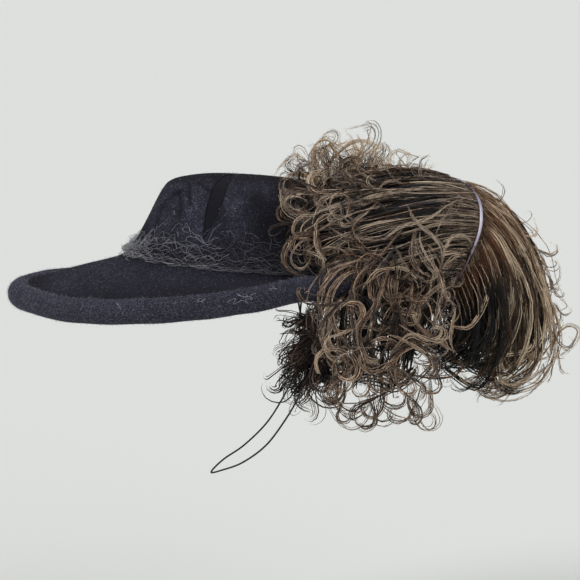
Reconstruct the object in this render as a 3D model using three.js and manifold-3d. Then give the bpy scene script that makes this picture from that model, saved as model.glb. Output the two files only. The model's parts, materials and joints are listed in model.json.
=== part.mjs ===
// A black felt tilt hat with a padded rolled rim, a crescent inset, a gathered net veil round the crown,
// curled ostrich plumes at the back and a chin elastic. Millimetres. The origin is the middle of the head
// opening, +Z is the crown's axis, -Y is the front and +X the wearer's left, where the plumes hang.

import * as THREE from "three";
import * as BufferGeometryUtils from "three/addons/utils/BufferGeometryUtils.js";
import Module from "manifold-3d";

const wasm = await Module();
wasm.setup();

// Driving dimensions
const FELT = 2.4; // thickness of the blocked felt
const GAP = 0.3; // what pieces that touch keep between them
const AROUND = 40; // facets round the crown, brim and rim
const CROWN_TOP = 77.3; // height of the crown's highest point
const TOP_FALL = 0.08; // how far the crown's top falls for each millimetre towards the back

// The crown outside, from the top down: half width, half length and height of each level, how far that
// level falls for each millimetre towards the back, and how squarely it is rounded (2 is an ellipse).
const CROWN = [
  { halfWidth: 10, halfLength: 20, height: 76.6, fall: TOP_FALL, square: 2 },
  { halfWidth: 20, halfLength: 40, height: 75.2, fall: TOP_FALL, square: 2.1 },
  { halfWidth: 30, halfLength: 57, height: 71.9, fall: 0.075, square: 2.2 },
  { halfWidth: 39, halfLength: 65.7, height: 68.4, fall: 0.07, square: 2.3 },
  { halfWidth: 47, halfLength: 70.4, height: 63.2, fall: 0.066, square: 2.3 },
  { halfWidth: 55, halfLength: 75.4, height: 54.2, fall: 0.062, square: 2.25 },
  { halfWidth: 63, halfLength: 81, height: 42.8, fall: 0.06, square: 2.2 },
  { halfWidth: 70, halfLength: 87, height: 31.6, fall: 0.058, square: 2.1 },
  { halfWidth: 76, halfLength: 93.4, height: 21.8, fall: 0.057, square: 2 },
  { halfWidth: 80.5, halfLength: 98.5, height: 16, fall: 0.057, square: 2 },
];

// The padded roll: radius, the plan ellipse of its middle line, and the height of that line at angles
// from the front, the same on both sides.
const ROLL = { radius: 8.5, halfWidth: 118, halfLength: 145.2, middleY: -27.2, sides: 9 };
const ROLL_HEIGHTS = [
  { angle: 0, height: -5 },
  { angle: 25, height: -5.5 },
  { angle: 44, height: -7 },
  { angle: 58, height: -6 },
  { angle: 72, height: -3.5 },
  { angle: 86, height: 0 },
  { angle: 98, height: 4.2 },
  { angle: 112, height: 10.6 },
  { angle: 145, height: 12 },
  { angle: 180, height: 12 },
];
const BRIM_TOP_AT = 130; // where the brim's top meets the roll, in degrees round the roll's section
const BRIM_UNDER_AT = 158;
const BRIM_LEVELS = [0.14, 0.55]; // rings of the brim, as shares of the way from crown to roll
const BRIM_SAG = [1.6, 0.6]; // how far each lies below the straight line

// The crescent inset on the left of the crown, drawn square to a side view from a little above:
// heights and the two edges' distances behind the middle, from the top down.
const INSET = { tilt: 8, depth: 1.3, thick: 1, from: 8, to: 95 };
const INSET_ROWS = [
  { height: 76.4, front: -23.5, back: -20.8 },
  { height: 73.6, front: -28.2, back: -21.4 },
  { height: 68.5, front: -32.4, back: -23 },
  { height: 60, front: -35.4, back: -25.2 },
  { height: 50, front: -37.6, back: -28.6 },
  { height: 41, front: -38.8, back: -32.6 },
  { height: 31, front: -39.6, back: -37.6 },
];

// The veil: a band of coarse net gathered round the crown, in columns and rows of openings.
const VEIL = { columns: 24, rows: 3, off: 1, thick: 1.2, hole: 0.7 };
const VEIL_EDGES = [
  { angle: 0, low: 0.1, high: 0.26 },
  { angle: 40, low: 0.08, high: 0.4 },
  { angle: 70, low: 0.07, high: 0.46 },
  { angle: 100, low: 0.06, high: 0.36 },
  { angle: 180, low: 0.06, high: 0.26 },
];

// The chin elastic: thickness and the way of its left half, from inside the crown to under the chin.
const ELASTIC = { diameter: 1.3, sides: 8, steps: 56 };
const ELASTIC_WAY = [
  [68.5, 28.8, 15.2],
  [69.9, 28.7, 9.5],
  [72, 28.2, 2],
  [72.6, 27.1, -9.2],
  [70, 26.4, -24.1],
  [66, 29.3, -40.5],
  [62, 30, -57],
  [57, 25, -73.5],
  [50, 15.7, -91],
  [41, 2.9, -109.7],
  [30, -13.6, -124.2],
  [18, -28.6, -132.4],
  [0, -37, -137.8],
];
const KNOT = { radius: 1.9, around: 8, over: 5 };

// The plumes. Each has a quill, and sheets of barbs that leave it in locks. A sheet's rows give where a
// lock starts, passes and ends, the radius of the curl at its end, and how far round the curl goes.
// Neighbouring locks hang together for their first steps, and end in planes a distance apart.
const LOCK = { steps: 5, joined: 3, curlSteps: 4, flat: 0.5, web: 0.7, parted: 0.82, tip: 0.8, point: 1.5 };
const QUILL = { sides: 5, stepsPerPoint: 1.5 };
const PLUMES = [
  {
    name: "plume_sweep",
    colour: 0x6a5a4a,
    quill: {
      radius: 3.4,
      points: [
        [41, 45, 58],
        [37, 62, 72],
        [29, 97, 82],
        [38, 129, 80],
        [55, 145, 65],
        [67, 147.5, 40],
        [75, 139, 13],
        [77, 131, 0],
      ],
    },
    sheets: [
      {
        locks: 8,
        apart: 3.6,
        rows: [
          { from: [31, 90, 81], via: [36, 62, 82], to: [50, 36, 71], curl: 7, turn: -170 },
          { from: [40, 131, 79], via: [64, 95, 76], to: [70, 31, 57], curl: 8, turn: -180 },
          { from: [60, 147, 57], via: [82, 98, 52], to: [86, 28, 38], curl: 8, turn: 200 },
          { from: [74, 141, 18], via: [90, 96, 28], to: [99, 40, 28], curl: 7, turn: 150 },
        ],
      },
      {
        locks: 7,
        apart: 3.6,
        rows: [
          { from: [36, 126, 79], via: [34, 179, 38], to: [34, 206, -38], curl: 11, turn: 180 },
          { from: [52, 143, 68], via: [55, 178, 20], to: [52, 193, -46], curl: 11, turn: 180 },
          { from: [66, 147, 42], via: [68, 167, -4], to: [63, 167, -53], curl: 9, turn: 190 },
          { from: [75, 139, 14], via: [77, 148, -18], to: [72, 143, -52], curl: 8, turn: 190 },
        ],
      },
    ],
  },
  {
    name: "plume_far",
    colour: 0x241f1d,
    quill: {
      radius: 3,
      points: [
        [18, 60, 69],
        [12, 84, 72],
        [14, 112, 72],
        [22, 136, 66],
        [32, 150, 52],
      ],
    },
    sheets: [
      {
        locks: 7,
        apart: 3.6,
        rows: [
          { from: [15, 70, 71], via: [-30, 98, 48], to: [-54, 127, -14], curl: 9, turn: -190 },
          { from: [12, 92, 72], via: [-16, 126, 50], to: [-34, 146, -38], curl: 9, turn: 190 },
          { from: [16, 120, 71], via: [2, 154, 42], to: [-12, 164, -50], curl: 9, turn: 190 },
          { from: [28, 146, 58], via: [20, 172, 24], to: [14, 178, -54], curl: 9, turn: 180 },
        ],
      },
    ],
  },
  {
    name: "plume_curls",
    colour: 0x5c5048,
    quill: {
      radius: 3,
      points: [
        [84, 52, 46],
        [97, 49, 42],
        [107, 72, 35],
        [108, 100, 27],
        [101, 124, 16],
      ],
    },
    sheets: [
      {
        locks: 7,
        apart: 3.6,
        rows: [
          { from: [99, 50, 41], via: [121, 40, 6], to: [100, 56, -44], curl: 12, turn: 250 },
          { from: [106, 70, 35], via: [114, 62, -6], to: [96, 82, -62], curl: 12, turn: -250 },
          { from: [108, 96, 28], via: [109, 94, -12], to: [94, 110, -62], curl: 12, turn: 250 },
          { from: [102, 120, 18], via: [99, 127, -14], to: [90, 138, -44], curl: 10, turn: -230 },
        ],
      },
    ],
  },
  {
    name: "plume_top",
    colour: 0x7a6a58,
    quill: {
      radius: 2.6,
      points: [
        [14, 38, 72],
        [6, 58, 70.5],
        [0, 84, 80],
        [-4, 108, 79],
      ],
    },
    sheets: [
      {
        locks: 5,
        apart: 6,
        rows: [
          { from: [13, 43, 72.2], via: [17, 29, 81], to: [20, 15, 84], curl: 7, turn: -200 },
          { from: [5, 60, 71.5], via: [6, 50, 87], to: [4, 43, 97], curl: 8, turn: 220 },
          { from: [0, 82, 80], via: [0, 76, 90], to: [-2, 70, 99], curl: 8, turn: -220 },
          { from: [-4, 104, 79], via: [-6, 101, 85], to: [-7, 98, 91], curl: 8, turn: 200 },
        ],
      },
    ],
  },
  {
    name: "plume_under",
    colour: 0x2a2321,
    quill: {
      radius: 2.6,
      points: [
        [115, 60, 14],
        [109, 60, 0],
        [100, 55, -15],
        [92, 48, -28],
      ],
    },
    sheets: [
      {
        locks: 6,
        apart: 3.6,
        rows: [
          { from: [103, 57, -10], via: [90, 32, -17], to: [88, 17, -28], curl: 9, turn: -220 },
          { from: [99, 54, -16], via: [88, 28, -35], to: [84, 15, -50], curl: 9, turn: 220 },
          { from: [94, 50, -25], via: [88, 31, -48], to: [84, 23, -63], curl: 9, turn: -220 },
          { from: [92, 48, -28], via: [88, 42, -54], to: [88, 44, -70], curl: 8, turn: 220 },
        ],
      },
    ],
  },
];

const degrees = THREE.MathUtils.degToRad;
const clamp = THREE.MathUtils.clamp;

// A value from a table of rows, eased between the rows on both sides of the place asked for.
function fromTable(rows, key, at, column) {
  let i = 0;
  while (i < rows.length - 2 && at > rows[i + 1][key]) i += 1;
  const share = clamp((at - rows[i][key]) / (rows[i + 1][key] - rows[i][key]), 0, 1);
  const eased = share * share * (3 - 2 * share);
  return rows[i][column] + (rows[i + 1][column] - rows[i][column]) * (0.5 * share + 0.5 * eased);
}

// Degrees from the front, 0 to 180 on either side, for a turn of the loft.
function angleFromFront(turn) {
  const angle = (THREE.MathUtils.radToDeg(turn) % 360 + 360) % 360;
  return angle > 180 ? 360 - angle : angle;
}

function crownPoint(level, turn) {
  const power = 2 / level.square;
  const side = Math.sin(turn);
  const front = Math.cos(turn);
  const x = level.halfWidth * Math.sign(side) * Math.abs(side) ** power;
  const y = -level.halfLength * Math.sign(front) * Math.abs(front) ** power;
  return new THREE.Vector3(x, y, level.height - level.fall * y);
}

function rollMiddle(turn) {
  const height = fromTable(ROLL_HEIGHTS, "angle", angleFromFront(turn), "height");
  return new THREE.Vector3(
    ROLL.halfWidth * Math.sin(turn),
    ROLL.middleY - ROLL.halfLength * Math.cos(turn),
    height,
  );
}

// A point of the roll's round section: 0 degrees points away from the head and 90 points up.
function rollPoint(turn, sectionAngle, radius) {
  const outward = new THREE.Vector3(
    ROLL.halfLength * Math.sin(turn),
    -ROLL.halfWidth * Math.cos(turn),
    0,
  ).normalize();
  const angle = degrees(sectionAngle);
  return rollMiddle(turn)
    .addScaledVector(outward, radius * Math.cos(angle))
    .add(new THREE.Vector3(0, 0, radius * Math.sin(angle)));
}

function brimPoint(index, turn, rollRadius) {
  const inner = crownPoint(CROWN[CROWN.length - 1], turn);
  const outer = rollPoint(turn, BRIM_TOP_AT, rollRadius);
  const point = inner.lerp(outer, BRIM_LEVELS[index]);
  point.z -= BRIM_SAG[index];
  return point;
}

const turns = Array.from({ length: AROUND }, (_, i) => (2 * Math.PI * i) / AROUND);

// Rings of the hat's upper face, from the crown's top to where the brim meets the roll.
function upperRings(rollRadius) {
  const rings = CROWN.map((level) => turns.map((turn) => crownPoint(level, turn)));
  BRIM_LEVELS.forEach((_, i) => rings.push(turns.map((turn) => brimPoint(i, turn, rollRadius))));
  rings.push(turns.map((turn) => rollPoint(turn, BRIM_TOP_AT, rollRadius)));
  return rings;
}

// The same rings moved square to the surface, outwards for a positive distance.
function offsetRings(rings, distance) {
  return rings.map((ring, i) =>
    ring.map((point, j) => {
      const ahead = ring[(j + 1) % AROUND];
      const behind = ring[(j + AROUND - 1) % AROUND];
      const above = i > 0 ? rings[i - 1][j] : new THREE.Vector3(0, 0, CROWN_TOP);
      const below = rings[Math.min(i + 1, rings.length - 1)][j];
      const along = ahead.clone().sub(behind);
      const down = below.clone().sub(above);
      return point.clone().addScaledVector(down.cross(along).normalize(), distance);
    }),
  );
}

// One closed body from rings, each end closed to a point.
function loftSolid(first, rings, last) {
  const sides = rings[0].length;
  const points = [first, ...rings.flat(), last];
  const index = [];
  for (let j = 0; j < sides; j += 1) {
    const next = (j + 1) % sides;
    index.push(0, 1 + j, 1 + next);
    for (let i = 0; i < rings.length - 1; i += 1) {
      const a = 1 + i * sides;
      const b = a + sides;
      index.push(a + j, b + j, b + next, a + j, b + next, a + next);
    }
    const end = 1 + (rings.length - 1) * sides;
    index.push(points.length - 1, end + next, end + j);
  }
  return toSolid(points, index);
}

function toSolid(points, index) {
  const vertProperties = new Float32Array(points.flatMap((p) => [p.x, p.y, p.z]));
  const build = (triVerts) => new wasm.Manifold(new wasm.Mesh({ numProp: 3, vertProperties, triVerts }));
  const solid = build(new Uint32Array(index));
  return solid.volume() > 0 ? solid : build(new Uint32Array([...index].reverse()));
}

// A solid of a three.js geometry, with its shared corners merged.
function solidOf(geometry) {
  const plain = geometry.clone();
  plain.deleteAttribute("normal");
  plain.deleteAttribute("uv");
  const merged = BufferGeometryUtils.mergeVertices(plain, 1e-4);
  const vertProperties = new Float32Array(merged.attributes.position.array);
  const triVerts = new Uint32Array(merged.index.array);
  return new wasm.Manifold(new wasm.Mesh({ numProp: 3, vertProperties, triVerts }));
}

function largestPart(solid) {
  return solid.decompose().sort((a, b) => b.volume() - a.volume())[0];
}

function geometryOf(solid) {
  const mesh = solid.getMesh();
  const geometry = new THREE.BufferGeometry();
  const corners = new Float32Array(mesh.triVerts.length * 3);
  mesh.triVerts.forEach((vertex, i) => {
    for (let axis = 0; axis < 3; axis += 1) {
      corners[3 * i + axis] = mesh.vertProperties[mesh.numProp * vertex + axis];
    }
  });
  geometry.setAttribute("position", new THREE.BufferAttribute(corners, 3));
  return BufferGeometryUtils.mergeVertices(geometry, 1e-5);
}

const group = new THREE.Group();

function addPiece(name, geometry, colour, roughness) {
  const material = new THREE.MeshStandardMaterial({ color: colour, roughness, metalness: 0 });
  const piece = new THREE.Mesh(geometry, material);
  piece.name = name;
  group.add(piece);
}

// Crown and brim are one blocked felt. The upper face runs out to the roll, the lower face back in
// and up the inside of the crown, so the head cavity is open below.
const upper = upperRings(ROLL.radius + GAP);
const lower = offsetRings(upper, -FELT).slice(0, -1);
const brimEdge = turns.map((turn) => rollPoint(turn, BRIM_UNDER_AT, ROLL.radius + GAP));
const crownTop = new THREE.Vector3(0, 0, CROWN_TOP);
const feltShell = loftSolid(
  crownTop,
  [...upper, brimEdge, ...lower.reverse()],
  new THREE.Vector3(0, 0, CROWN_TOP - FELT),
);

// What is left of the crown when everything nearer than a depth to its outer face is taken away.
function crownCore(depth) {
  const rings = offsetRings(upper, -depth).slice(0, CROWN.length);
  return loftSolid(new THREE.Vector3(0, 0, CROWN_TOP - depth), rings, new THREE.Vector3(0, 0, 5));
}

// The crescent as a bar along the sight line of its side view, grown or shrunk at its edges.
function crescentBar(grow) {
  const outline = new THREE.Shape();
  const last = INSET_ROWS.length - 1;
  const heightOf = (row, i) => row.height + (i === 0 ? grow : 0) - (i === last ? grow : 0);
  const front = INSET_ROWS.map((row, i) => [row.front - grow, heightOf(row, i)]);
  const back = INSET_ROWS.map((row, i) => [row.back + grow, heightOf(row, i)]).reverse();
  const corners = [...front, ...back];
  outline.setFromPoints(corners.map(([y, z]) => new THREE.Vector2(y, z)));
  const bar = new THREE.ExtrudeGeometry(outline, { depth: INSET.to - INSET.from, bevelEnabled: false });
  const turned = new THREE.Matrix4().makeBasis(
    new THREE.Vector3(0, 1, 0),
    new THREE.Vector3(0, 0, 1),
    new THREE.Vector3(1, 0, 0),
  );
  bar.applyMatrix4(turned);
  bar.translate(INSET.from, 0, 0);
  bar.applyMatrix4(new THREE.Matrix4().makeRotationY(-degrees(INSET.tilt)));
  return solidOf(bar);
}

const recess = crescentBar(0).subtract(crownCore(INSET.depth));
addPiece("felt_body", geometryOf(largestPart(feltShell.subtract(recess))), 0x24242c, 0.95);

const inset = crescentBar(-GAP).intersect(crownCore(0)).subtract(crownCore(INSET.thick));
addPiece("crown_inset", geometryOf(largestPart(inset)), 0x1c1c24, 0.9);

// The padded roll round the brim's edge, a closed ring. Two corners of its section lie where the
// brim's edge meets it, so that both faces run side by side.
function rollSolid(radius) {
  const free = 360 - (BRIM_UNDER_AT - BRIM_TOP_AT);
  const steps = ROLL.sides - 1;
  const corners = Array.from({ length: ROLL.sides }, (_, k) => BRIM_UNDER_AT + (free * k) / steps);
  const points = turns.flatMap((turn) => corners.map((angle) => rollPoint(turn, angle, radius)));
  const index = [];
  for (let j = 0; j < AROUND; j += 1) {
    const a = j * ROLL.sides;
    const b = ((j + 1) % AROUND) * ROLL.sides;
    for (let k = 0; k < ROLL.sides; k += 1) {
      const next = (k + 1) % ROLL.sides;
      index.push(a + k, b + k, b + next, a + k, b + next, a + next);
    }
  }
  return toSolid(points, index);
}

addPiece("rim_roll", geometryOf(rollSolid(ROLL.radius)), 0x36363f, 0.95);

// A point of the crown's side at a share of the way up from its base, held off its face.
function besideCrown(turn, share, off) {
  const levels = CROWN.length - 1;
  const place = clamp(share, 0, 1) * levels;
  const i = Math.min(Math.floor(place), levels - 1);
  const at = (k, t) => crownPoint(CROWN[levels - clamp(k, 0, levels)], t);
  const point = at(i, turn).lerp(at(i + 1, turn), place - i);
  const up = at(i + 1, turn).sub(at(i, turn));
  const around = at(i, turn + 0.01).sub(at(i, turn - 0.01));
  return point.addScaledVector(around.cross(up).normalize(), off);
}

function veilPoint(column, row, off) {
  const turn = (2 * Math.PI * column) / VEIL.columns;
  const low = fromTable(VEIL_EDGES, "angle", angleFromFront(turn), "low");
  const high = fromTable(VEIL_EDGES, "angle", angleFromFront(turn), "high");
  return besideCrown(turn, low + ((high - low) * row) / VEIL.rows, off);
}

// The net: each cell of the band is a four-sided frame round a diamond opening.
function veilSolid() {
  const points = [];
  const found = new Map();
  const corner = (column, row, off) => {
    const key = [(column + VEIL.columns) % VEIL.columns, row, off].join(" ");
    if (!found.has(key)) {
      found.set(key, points.length);
      points.push(veilPoint(column, row, off));
    }
    return found.get(key);
  };
  const index = [];
  const outer = VEIL.off + VEIL.thick;
  const reach = VEIL.hole / 2;
  for (let c = 0; c < VEIL.columns; c += 1) {
    for (let r = 0; r < VEIL.rows; r += 1) {
      const frame = [[c, r], [c + 1, r], [c + 1, r + 1], [c, r + 1]];
      const hole = [
        [c + 0.5, r + 0.5 - reach],
        [c + 0.5 + reach, r + 0.5],
        [c + 0.5, r + 0.5 + reach],
        [c + 0.5 - reach, r + 0.5],
      ];
      const frameOut = frame.map(([a, b]) => corner(a, b, outer));
      const frameIn = frame.map(([a, b]) => corner(a, b, VEIL.off));
      const holeOut = hole.map(([a, b]) => corner(a, b, outer));
      const holeIn = hole.map(([a, b]) => corner(a, b, VEIL.off));
      for (let k = 0; k < 4; k += 1) {
        const n = (k + 1) % 4;
        index.push(frameOut[k], frameOut[n], holeOut[k], frameOut[n], holeOut[n], holeOut[k]);
        index.push(frameIn[k], holeIn[k], frameIn[n], frameIn[n], holeIn[k], holeIn[n]);
        index.push(holeOut[k], holeOut[n], holeIn[n], holeOut[k], holeIn[n], holeIn[k]);
      }
      const edges = [];
      if (r === 0) edges.push([0, 1]);
      if (r === VEIL.rows - 1) edges.push([2, 3]);
      for (const [a, b] of edges) {
        index.push(frameOut[a], frameIn[a], frameIn[b], frameOut[a], frameIn[b], frameOut[b]);
      }
    }
  }
  return toSolid(points, index);
}

addPiece("veil_net", geometryOf(veilSolid()), 0x9a98a0, 0.8);

// Everything that the plumes keep clear of: the felt with its cavity filled, and the band of the veil.
function feltSpace(grow) {
  const rings = offsetRings(upper.slice(0, -1), grow);
  const steps = ROLL.sides - 1;
  for (let k = 0; k <= steps; k += 1) {
    const angle = BRIM_TOP_AT - ((360 - BRIM_UNDER_AT + BRIM_TOP_AT) * k) / steps;
    rings.push(turns.map((turn) => rollPoint(turn, angle, ROLL.radius + grow)));
  }
  return loftSolid(new THREE.Vector3(0, 0, CROWN_TOP + grow), rings, new THREE.Vector3(0, 0, 2));
}

function veilSpace(grow) {
  const rows = [];
  const off = VEIL.off + VEIL.thick + grow;
  const lift = grow / 10;
  const columnAt = (turn) => (turn * VEIL.columns) / (2 * Math.PI);
  const ring = (row, out) => turns.map((turn) => veilPoint(columnAt(turn), row, out));
  rows.push(ring(VEIL.rows + lift, off));
  for (let row = VEIL.rows - 1; row > 0; row -= 1) rows.push(ring(row, off));
  rows.push(ring(-lift, off));
  return loftSolid(new THREE.Vector3(0, 0, 40), rows, new THREE.Vector3(0, 0, 5));
}

// The way of one lock: along its curve, then round its curl in a plane square to the wearer's side.
function lockWay(lock) {
  const curve = new THREE.CatmullRomCurve3([lock.from, lock.via, lock.to], false, "centripetal");
  const way = curve.getSpacedPoints(LOCK.steps);
  const heading = curve.getTangent(1).setX(0).normalize();
  const side = new THREE.Vector3(1, 0, 0).cross(heading).normalize().multiplyScalar(Math.sign(lock.turn));
  const middle = lock.to.clone().addScaledVector(side, lock.curl);
  for (let k = 1; k <= LOCK.curlSteps; k += 1) {
    const share = k / LOCK.curlSteps;
    const angle = degrees(Math.abs(lock.turn)) * share;
    const radius = lock.curl * (1 - 0.45 * share);
    const point = middle.clone().addScaledVector(side, -radius * Math.cos(angle));
    way.push(point.addScaledVector(heading, radius * Math.sin(angle)));
  }
  return way;
}

// Where a lock runs, which way its width and its thickness lie, and half of each, at every step. It is
// as wide as its neighbours leave it room, and narrows to its curl.
function lockStations(lock, neighbours) {
  const way = lockWay(lock);
  const last = way.length - 1;
  const ways = neighbours.map((neighbour) => lockWay(neighbour));
  const apartAt = (i, other, along) => other[i].clone().sub(way[i]).projectOnPlane(along).length();
  const roomAt = (i, along) => Math.min(...ways.map((other) => apartAt(i, other, along)));
  let wide = lock.wide.clone();
  let endRoom = 0;
  return way.map((point, i) => {
    const along = way[Math.min(i + 1, last)].clone().sub(way[Math.max(i - 1, 0)]).normalize();
    wide = wide.clone().addScaledVector(along, -wide.dot(along)).normalize();
    const joined = i <= LOCK.joined;
    const swell = joined ? 1 : (LOCK.parted * (last + 1 - i)) / (last + 1 - LOCK.joined);
    const room = i <= LOCK.steps ? roomAt(i, along) : endRoom;
    endRoom = room;
    const half = Math.max(LOCK.tip, Math.min(lock.half, room / 2) * swell);
    const halfThick = Math.max(LOCK.tip, half * (joined ? LOCK.flat : LOCK.flat * swell));
    return { point, along, wide, thick: along.clone().cross(wide), half, halfThick };
  });
}

// The locks of one sheet, spread evenly along its rows, each as wide as the sheet leaves it room.
function sheetLocks(sheet) {
  const line = (column) =>
    new THREE.CatmullRomCurve3(sheet.rows.map((row) => new THREE.Vector3(...row[column])));
  const [starts, middles, ends] = [line("from"), line("via"), line("to")];
  const room = middles.getLength() / (sheet.locks - 1);
  return Array.from({ length: sheet.locks }, (_, k) => {
    const share = k / (sheet.locks - 1);
    const row = sheet.rows[Math.round(share * (sheet.rows.length - 1))];
    const to = ends.getPoint(share);
    to.x += ((k % 3) - 1) * sheet.apart;
    return {
      from: starts.getPoint(share),
      via: middles.getPoint(share),
      to,
      wide: middles.getTangent(share),
      curl: row.curl,
      turn: row.turn,
      half: room / 2,
    };
  });
}

function besideStation(station, wide, thick) {
  return station.point.clone().addScaledVector(station.wide, wide).addScaledVector(station.thick, thick);
}

// The four corners of a tongue: left, front, right and back.
function tongueCorners(station, grow) {
  const { half, halfThick } = station;
  return [
    besideStation(station, -half - grow, 0),
    besideStation(station, 0, halfThick + grow),
    besideStation(station, half + grow, 0),
    besideStation(station, 0, -halfThick - grow),
  ];
}

// The curl at a lock's end, a tapering strip that starts inside its tongue.
function curlSolid(lock, grow) {
  const stations = lock.slice(LOCK.steps);
  const rings = stations.map((station) => tongueCorners(station, grow));
  const first = stations[0];
  const last = stations[stations.length - 1];
  const inside = first.point.clone().addScaledVector(first.along, -first.half);
  return loftSolid(inside, rings, last.point.clone().addScaledVector(last.along, LOCK.point + grow));
}

// A sheet as one ribbed body whose locks part into tongues after the joined steps.
function ribbedSolid(locks, grow) {
  const points = [];
  const index = [];
  const put = (point) => points.push(point) - 1;
  const quad = (a, b, c, d) => index.push(a, b, c, a, c, d);
  // Both faces of a place on the sheet, kept as [front, back].
  const faces = (station, wide, thick) =>
    [thick, -thick].map((off) => put(besideStation(station, wide, off)));
  // valleys[k] lies before lock k
  const joinedRow = (j) => {
    const ridges = locks.map((lock) => faces(lock[j], 0, lock[j].halfThick + grow));
    const valleys = Array.from({ length: locks.length + 1 }, (_, k) => {
      const web = LOCK.web + grow;
      if (k === 0) return faces(locks[0][j], -locks[0][j].half - grow, web);
      const before = locks[k - 1][j];
      if (k === locks.length) return faces(before, before.half + grow, web);
      const middle = before.point.clone().add(locks[k][j].point).multiplyScalar(0.5);
      return faces({ ...before, point: middle }, 0, web);
    });
    return { ridges, valleys };
  };
  const rows = Array.from({ length: LOCK.joined + 1 }, (_, j) => joinedRow(j));
  locks.forEach((lock, k) => {
    for (let j = 0; j < LOCK.joined; j += 1) {
      const [a, b] = [rows[j], rows[j + 1]];
      quad(a.valleys[k][0], a.ridges[k][0], b.ridges[k][0], b.valleys[k][0]);
      quad(a.ridges[k][0], a.valleys[k + 1][0], b.valleys[k + 1][0], b.ridges[k][0]);
      quad(a.ridges[k][1], a.valleys[k][1], b.valleys[k][1], b.ridges[k][1]);
      quad(a.valleys[k + 1][1], a.ridges[k][1], b.ridges[k][1], b.valleys[k + 1][1]);
    }
    const { ridges, valleys } = rows[0];
    quad(valleys[k][1], ridges[k][1], ridges[k][0], valleys[k][0]);
    quad(ridges[k][1], valleys[k + 1][1], valleys[k + 1][0], ridges[k][0]);
    const end = rows[LOCK.joined];
    const [leftEdge, rightEdge, ridge] = [end.valleys[k], end.valleys[k + 1], end.ridges[k]];
    const parted = lock.slice(LOCK.joined + 1, LOCK.steps + 1);
    const rings = parted.map((station) => tongueCorners(station, grow).map((corner) => put(corner)));
    const [left, front, right, back] = rings[0];
    quad(leftEdge[0], ridge[0], front, left);
    quad(ridge[0], rightEdge[0], right, front);
    quad(rightEdge[1], ridge[1], back, right);
    quad(ridge[1], leftEdge[1], left, back);
    index.push(rightEdge[0], rightEdge[1], right, leftEdge[1], leftEdge[0], left);
    for (let i = 0; i < rings.length - 1; i += 1) {
      for (let c = 0; c < 4; c += 1) {
        const n = (c + 1) % 4;
        quad(rings[i][c], rings[i][n], rings[i + 1][n], rings[i + 1][c]);
      }
    }
    const last = lock[LOCK.steps];
    const tip = put(last.point.clone().addScaledVector(last.along, last.halfThick));
    const ring = rings[rings.length - 1];
    for (let c = 0; c < 4; c += 1) index.push(ring[c], ring[(c + 1) % 4], tip);
  });
  for (let j = 0; j < LOCK.joined; j += 1) {
    const n = locks.length;
    const [a, b] = [rows[j].valleys, rows[j + 1].valleys];
    quad(a[0][1], a[0][0], b[0][0], b[0][1]);
    quad(a[n][0], a[n][1], b[n][1], b[n][0]);
  }
  return toSolid(points, index);
}

function sheetSolid(sheet, grow) {
  const locks = sheetLocks(sheet).map((lock, k, all) => {
    const neighbours = [all[k - 1], all[k + 1]].filter((other) => other);
    return lockStations(lock, neighbours);
  });
  const curls = locks.map((lock) => curlSolid(lock, grow));
  return wasm.Manifold.union([ribbedSolid(locks, grow), ...curls]);
}

function quillSolid(quill, grow) {
  const curve = new THREE.CatmullRomCurve3(quill.points.map((values) => new THREE.Vector3(...values)));
  const steps = Math.ceil(QUILL.stepsPerPoint * quill.points.length);
  const way = curve.getSpacedPoints(steps);
  const side = new THREE.Vector3(1, 0, 0);
  const rings = way.map((point, i) => {
    const along = way[Math.min(i + 1, steps)].clone().sub(way[Math.max(i - 1, 0)]).normalize();
    const wide = side.clone().addScaledVector(along, -side.dot(along)).normalize();
    const thick = along.clone().cross(wide);
    const radius = quill.radius * (1 - 0.35 * (i / steps)) + grow;
    return Array.from({ length: QUILL.sides }, (_, k) => {
      const angle = (2 * Math.PI * k) / QUILL.sides;
      const corner = point.clone().addScaledVector(wide, radius * Math.cos(angle));
      return corner.addScaledVector(thick, radius * Math.sin(angle));
    });
  });
  const beyond = (end, inner) => end.clone().sub(inner).setLength(1 + grow).add(end);
  return loftSolid(beyond(way[0], way[1]), rings, beyond(way[steps], way[steps - 1]));
}

function plumeSolid(plume, grow) {
  const sheets = plume.sheets.map((sheet) => sheetSolid(sheet, grow));
  return wasm.Manifold.union([quillSolid(plume.quill, grow), ...sheets]);
}

let taken = wasm.Manifold.union([feltSpace(GAP), veilSpace(GAP)]);
for (const plume of PLUMES) {
  const solid = largestPart(plumeSolid(plume, 0).subtract(taken));
  addPiece(plume.name, geometryOf(solid), plume.colour, 0.85);
  taken = taken.add(plumeSolid(plume, GAP));
}

// The elastic, a loop from one knot inside the crown round under the chin to the other.
const leftWay = ELASTIC_WAY.map((values) => new THREE.Vector3(...values));
const rightWay = leftWay.slice(0, -1).map((p) => new THREE.Vector3(-p.x, p.y, p.z));
const elasticCurve = new THREE.CatmullRomCurve3([...leftWay, ...rightWay.reverse()]);
const elasticSection = new THREE.Shape();
for (let k = 0; k < ELASTIC.sides; k += 1) {
  const angle = (2 * Math.PI * k) / ELASTIC.sides;
  const x = (ELASTIC.diameter / 2) * Math.cos(angle);
  const y = (ELASTIC.diameter / 2) * Math.sin(angle);
  if (k === 0) elasticSection.moveTo(x, y);
  else elasticSection.lineTo(x, y);
}
const elastic = new THREE.ExtrudeGeometry(elasticSection, {
  extrudePath: elasticCurve,
  steps: ELASTIC.steps,
  bevelEnabled: false,
});
addPiece("chin_elastic", geometryOf(solidOf(elastic)), 0x101012, 0.6);

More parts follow.
